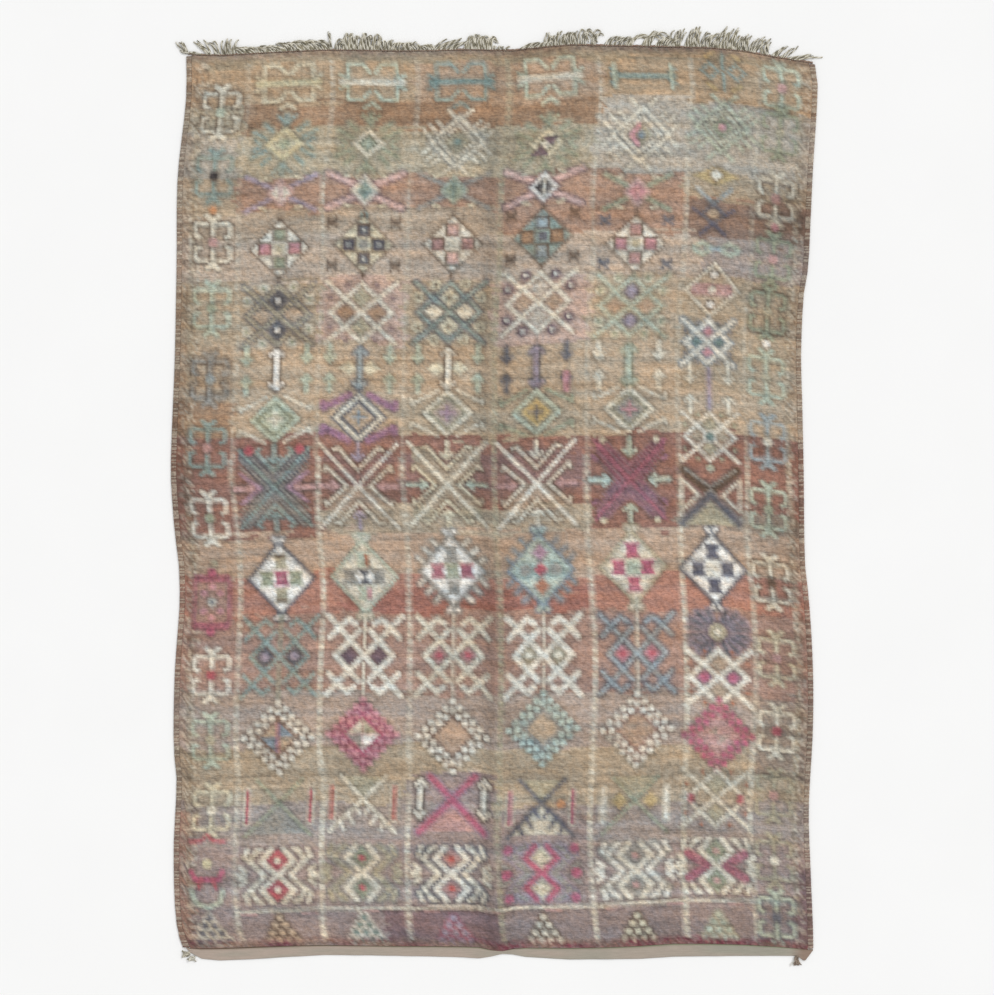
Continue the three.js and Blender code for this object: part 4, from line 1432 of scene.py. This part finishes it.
def build_fringe():
    """The strip of fused roots and the strands of all tufts in one piece."""
    draw = np.random.default_rng(83)
    yarn = Yarn()
    low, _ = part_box("fringe")
    strip_x = np.arange(low.x + STRIP_INSET, rug_high.x - STRIP_INSET, STRIP_STEP)
    strip_y = strip_middle(strip_x)
    strip = np.column_stack([strip_x, strip_y, np.full(strip_x.size, STRIP_HEIGHT / 2)])
    width = np.full(strip_x.size, STRIP_DEPTH)
    brown = (linear("umber_rose"), linear("border_brown"))
    yarn.add_cord(strip, width, STRIP_HEIGHT / STRIP_DEPTH, brown)
    for *millimetres, strands in TUFTS:
        first_root, last_root, bend_height, tip_height, lean = np.array(millimetres) / 1000
        for i in range(strands):
            x = first_root + (last_root - first_root) * i / (strands - 1) + CENTRE_SHIFT
            y = strip_middle(x)
            tall, tilt = draw.uniform(*TALL_RANGE), draw.uniform(-TILT, TILT)
            bend = (x + lean * BEND_LEAN + tilt / 2, y + bend_height * tall)
            tip = (x + lean + tilt, y + tip_height * tall)
            dyes = strand_dyes(draw)
            add_strand(yarn, (x, y), bend, tip, dyes, draw, STRAND_STACK * (i % 3))
    return yarn.piece("warp_fringe")


warp_fringe = build_fringe()


def build_corner(name, lumps, ends, seed):
    """A knot tied in warp ends: balls of wound yarn with short ends."""
    draw = np.random.default_rng(seed)
    yarn = Yarn()
    for x, y, length, wide, tall, wool in lumps:
        thick = tall * WOUND_THICK
        for turn in range(WOUND_TURNS):
            lean = math.pi * turn / WOUND_TURNS
            t = np.linspace(0, 2 * np.pi, WOUND_POINTS) + lean
            path = np.column_stack(
                [
                    x + (length - thick) / 2 * np.cos(t),
                    y + (wide - thick) / 2 * np.sin(t + lean),
                    tall / 2 + (tall - thick) / 2 * np.sin(t - lean),
                ]
            )
            # the second ply is the same wool darkened, painted shade between the plies
            dyes = (linear(wool) * draw.uniform(0.8, 1.1), linear(wool) * 0.6)
            yarn.add_cord(path, np.full(t.size, thick), 1.0, dyes)
        core = np.tile((x, y, tall / 2), (CORE_POINTS, 1))
        core[:, 0] = np.linspace(x - length / 3, x + length / 3, CORE_POINTS)
        yarn.add_cord(core, np.full(CORE_POINTS, min(wide, tall) * CORE_THICK), 1.0, dyes)
    for x, y, out_x, out_y, wool in ends:
        bend = (x + out_x * 0.4, y + out_y * 0.6)
        # the second ply is the same wool darkened, painted shade between the plies
        dyes = (linear(wool) * draw.uniform(0.85, 1.1), linear(wool) * 0.7)
        add_strand(yarn, (x, y), bend, (x + out_x, y + out_y), dyes, draw)
    return yarn.piece(name)


# Middle, length, width and height of each lump, then root and reach of each warp end
corner_knot = build_corner(
    "corner_knot",
    [
        (-0.8309, -1.2372, 0.021, 0.016, 0.009, "ecru"),
        (-0.8159, -1.2480, 0.018, 0.015, 0.010, "pale"),
    ],
    [
        (-0.8329, -1.2336, -0.010, 0.005, "khaki"),
        (-0.8329, -1.2396, -0.010, -0.006, "ecru"),
        (-0.8189, -1.2456, -0.010, -0.007, "khaki"),
        (-0.8139, -1.2500, 0.010, -0.006, "pale"),
    ],
    91,
)
TUFT_FAN = [(0.8111 + 0.0022 * i, -1.2520, -0.003 + 0.0026 * i, -0.015) for i in range(5)]
corner_tuft = build_corner(
    "corner_tuft",
    [(0.8151, -1.2472, 0.013, 0.013, 0.008, "umber_taupe")],
    [(*strand, "umber_taupe") for strand in TUFT_FAN]
    + [(0.8121, -1.2506, -0.014, -0.017, "white")],
    97,
)


# Materials
class Value:
    """A shader socket that numbers and other sockets can be added to or multiplied by."""

    def __init__(self, shader, socket):
        self.shader = shader
        self.socket = socket

    def maths(self, operation, *others):
        """The socket after one step of arithmetic."""
        settings = {"operation": operation}
        return self.shader.node("ShaderNodeMath", settings, dict(enumerate([self, *others])))

    def __add__(self, other):
        return self.maths("ADD", other)

    def __sub__(self, other):
        return self.maths("SUBTRACT", other)

    def __mul__(self, other):
        return self.maths("MULTIPLY", other)

    def __rsub__(self, other):
        return self.shader.node("ShaderNodeMath", {"operation": "SUBTRACT"}, {0: other, 1: self})

    __radd__ = __add__
    __rmul__ = __mul__


class Shader:
    """A material of one principled shader, its nodes added one by one."""

    def __init__(self, name):
        self.material = bpy.data.materials.new(name)
        self.material.use_nodes = True
        self.nodes = self.material.node_tree.nodes
        self.links = self.material.node_tree.links
        self.surface = self.nodes["Principled BSDF"]

    def node(self, kind, settings=(), sockets=(), output=0):
        """A node of a type, with its settings, then the numbers or links of its sockets."""
        made = self.nodes.new(kind)
        for name, value in dict(settings).items():
            setattr(made, name, value)
        for name, value in dict(sockets).items():
            if isinstance(value, Value):
                self.links.new(value.socket, made.inputs[name])
            else:
                made.inputs[name].default_value = value
        return Value(self, made.outputs[output])

    def finish(self, constants, **links):
        """The material, once constants and links are on the shader's own sockets."""
        for name, value in constants.items():
            self.surface.inputs[name].default_value = value
        for name, value in links.items():
            self.links.new(value.socket, self.surface.inputs[name.replace("_", " ")])
        return self.material

    def grain(self, scale, detail=3.0, across=1.0, along=1.0):
        """Noise of a scale, drawn out across or along the rug where that share is small."""
        coordinates = self.node("ShaderNodeTexCoord", output="Object")
        placed = {"Vector": coordinates, "Scale": (across, along, 1.0)}
        vector = self.node("ShaderNodeMapping", (), placed)
        sockets = {"Vector": vector, "Scale": scale, "Detail": detail, "Roughness": 0.6}
        return self.node("ShaderNodeTexNoise", (), sockets, output="Fac")

    def across_and_along(self, vector):
        """The first two parts of a vector, X and Y."""
        across = self.node("ShaderNodeSeparateXYZ", (), {0: vector})
        return across, Value(self, across.socket.node.outputs["Y"])

    def knots(self):
        """Knots as they are counted across and along the rug."""
        return self.across_and_along(self.node("ShaderNodeUVMap", {"uv_map": "knots"}))

    def stretch(self, value, to_low, to_high, from_low=0.2, from_high=0.8):
        """A value spread softly from one range to another."""
        sockets = {
            "Value": value,
            "From Min": from_low,
            "From Max": from_high,
            "To Min": to_low,
            "To Max": to_high,
        }
        settings = {"interpolation_type": "SMOOTHSTEP"}
        return self.node("ShaderNodeMapRange", settings, sockets)

    def dyed(self, shade, height, depth, fuzz, least_rough, most_rough):
        """The piece's own dye in a shade, on a matt surface that stands up by a depth."""
        dye = self.node("ShaderNodeAttribute", {"attribute_name": "dye"}, output="Color")
        shaded = {0: dye, "Scale": shade}
        bump = {"Height": height, "Distance": depth, "Strength": 0.7}
        return self.finish(
            {"Sheen Weight": 0.12, "Sheen Roughness": 0.6, "Specular IOR Level": 0.2},
            Base_Color=self.node("ShaderNodeVectorMath", {"operation": "SCALE"}, shaded),
            Roughness=self.stretch(fuzz, least_rough, most_rough),
            Normal=self.node("ShaderNodeBump", (), bump),
        )


def pile_wool():
    """Worn knots in rows: each a small cushion of fibres, with painted shade where the rows
    part.
    """
    wool = Shader("pile_wool")
    column, row = wool.knots()
    across_knot = (column.maths("FRACT") - 0.5).maths("ABSOLUTE")
    along_knot = (row.maths("FRACT") - 0.5).maths("ABSOLUTE")
    groove = wool.stretch(across_knot.maths("MAXIMUM", along_knot), 0.0, 1.0, 0.28, 0.5)
    fibre = wool.grain(640, along=0.6)
    clump = wool.grain(300, across=0.3)
    streak = wool.grain(190, 2.0, across=0.08)
    shade = wool.stretch(fibre, 0.83, 1.19)
    shade *= wool.stretch(clump, 0.74, 1.16, 0.28, 0.66)
    shade *= wool.stretch(streak, 0.93, 1.06, 0.3, 0.7)
    # painted shade in the grooves between knots
    shade *= 1 - groove * 0.06
    height = fibre * 0.35 + clump * 0.8 - groove * 0.15
    return wool.dyed(shade, height, 0.0016, clump, 0.86, 0.98)


def back_wool():
    """The underside: ridges of weft with the knots' colours between them."""
    wool = Shader("back_wool")
    column, row = wool.knots()
    ridge = (row * (2 * math.pi)).maths("SINE")
    warp = (column * (4 * math.pi)).maths("SINE")
    fibre = wool.grain(500)
    shade = wool.stretch(fibre, 0.8, 1.15) * (ridge * 0.08 + 0.94)
    height = ridge * 0.5 + warp * 0.25 + fibre * 0.4
    return wool.dyed(shade, height, 0.0012, fibre, 0.88, 0.97)


def cord_wool():
    """Overcast wool of the side cords, its fibres leaning with the wrapping."""
    wool = Shader("cord_wool")
    fibre = wool.grain(800, across=0.5)
    clump = wool.grain(220, 2.0, across=0.6)
    shade = wool.stretch(fibre, 0.72, 1.2) * wool.stretch(clump, 0.82, 1.15, 0.3, 0.7)
    return wool.dyed(shade, fibre * 0.5 + clump * 0.5, 0.001, fibre, 0.86, 0.97)


def flat_weave():
    """Weft-faced weave of the lower band: fine ribs along the rug, weft streaks across."""
    weave = Shader("flat_weave")
    across, along = weave.across_and_along(weave.node("ShaderNodeTexCoord", output="Object"))
    warp = (across * (2 * math.pi / WARP_SPACING)).maths("SINE")
    weft = (along * (2 * math.pi / WEFT_SPACING)).maths("SINE")
    streak = weave.grain(320, across=0.1)
    fibre = weave.grain(700)
    shade = weave.stretch(streak, 0.94, 1.05, 0.3, 0.7) * weave.stretch(fibre, 0.92, 1.06)
    shade *= warp * weft * 0.03 + 0.99
    return weave.dyed(shade, warp * weft * 0.4 + streak * 0.6, 0.0008, fibre, 0.85, 0.96)


def plied_yarn():
    """Undyed warp yarn, a little dusty; its darker ply is partly greyer wool and partly painted
    shade.
    """
    yarn = Shader("plied_yarn")
    fibre = yarn.grain(900)
    dust = yarn.grain(90, 2.0)
    shade = yarn.stretch(fibre, 0.78, 1.15) * yarn.stretch(dust, 0.85, 1.1, 0.3, 0.7)
    return yarn.dyed(shade, fibre, 0.0007, fibre, 0.84, 0.96)


def pale_floor():
    """A matt, nearly white studio floor."""
    matt = Shader("pale_floor")
    shade = matt.stretch(matt.grain(3.0, 2.0), 0.985, 1.0)
    sockets = {0: shade, 6: (0.0, 0.0, 0.0, 1.0), 7: (0.93, 0.93, 0.925, 1.0)}
    colour = matt.node("ShaderNodeMix", {"data_type": "RGBA"}, sockets, output=2)
    return matt.finish({"Roughness": 0.9}, Base_Color=colour)


side_wool = cord_wool()
warp_yarn = plied_yarn()
FINISHES = [
    (pile, pile_wool()),
    (foundation, back_wool()),
    (cord_left, side_wool),
    (cord_right, side_wool),
    (flat_band, flat_weave()),
    (warp_fringe, warp_yarn),
    (corner_knot, warp_yarn),
    (corner_tuft, warp_yarn),
]
for piece, finish in FINISHES:
    piece.data.materials.append(finish)
for piece in (cord_left, cord_right, warp_fringe, corner_knot, corner_tuft, flat_band):
    piece.data.shade_smooth()

# What each piece is, what it stands for and what it rides on
rug_pieces = [pile, foundation, cord_left, cord_right, flat_band]
for piece in rug_pieces:
    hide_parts("rug")
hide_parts("fringe")
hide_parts("corner_knot_left")
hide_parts("corner_tuft_right")
for piece in [*rug_pieces, warp_fringe, corner_knot, corner_tuft]:
    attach(piece, BODY)

# Floor, light and camera
FLOOR_SIZE = 14
VIEW_HEIGHT = 2.6865  # how much of the floor the photograph shows from top to bottom
CAMERA_HEIGHT = 7.0
VIEW_MIDDLE = (0.0072, -0.0046)
SENSOR = 36
SKY_STRENGTH = 0.80
SUN_STRENGTH = 1.0
SUN_WIDTH = math.radians(12)  # a wide sun casts soft shadows
SUN_TURN = (math.radians(-30), math.radians(38), 0)
bpy.ops.object.select_all(action="DESELECT")
bpy.ops.mesh.primitive_plane_add(size=FLOOR_SIZE)
floor = bpy.context.object
floor.name = "studio_floor"
floor.data.materials.append(pale_floor())

scene = bpy.context.scene
scene.view_settings.view_transform = "Standard"
world = bpy.data.worlds.new("studio")
world.use_nodes = True
sky = world.node_tree.nodes["Background"]
sky.inputs["Color"].default_value = (1.0, 1.0, 1.0, 1.0)
sky.inputs["Strength"].default_value = SKY_STRENGTH
scene.world = world

sun = bpy.data.lights.new("window_light", "SUN")
sun.energy = SUN_STRENGTH
sun.angle = SUN_WIDTH
sun_object = bpy.data.objects.new("window_light", sun)
sun_object.rotation_euler = SUN_TURN
scene.collection.objects.link(sun_object)

camera_data = bpy.data.cameras.new("camera")
camera_data.sensor_width = SENSOR
camera_data.lens = SENSOR * CAMERA_HEIGHT / VIEW_HEIGHT
camera = bpy.data.objects.new("camera", camera_data)
camera.location = (*VIEW_MIDDLE, CAMERA_HEIGHT)
scene.collection.objects.link(camera)
scene.camera = camera
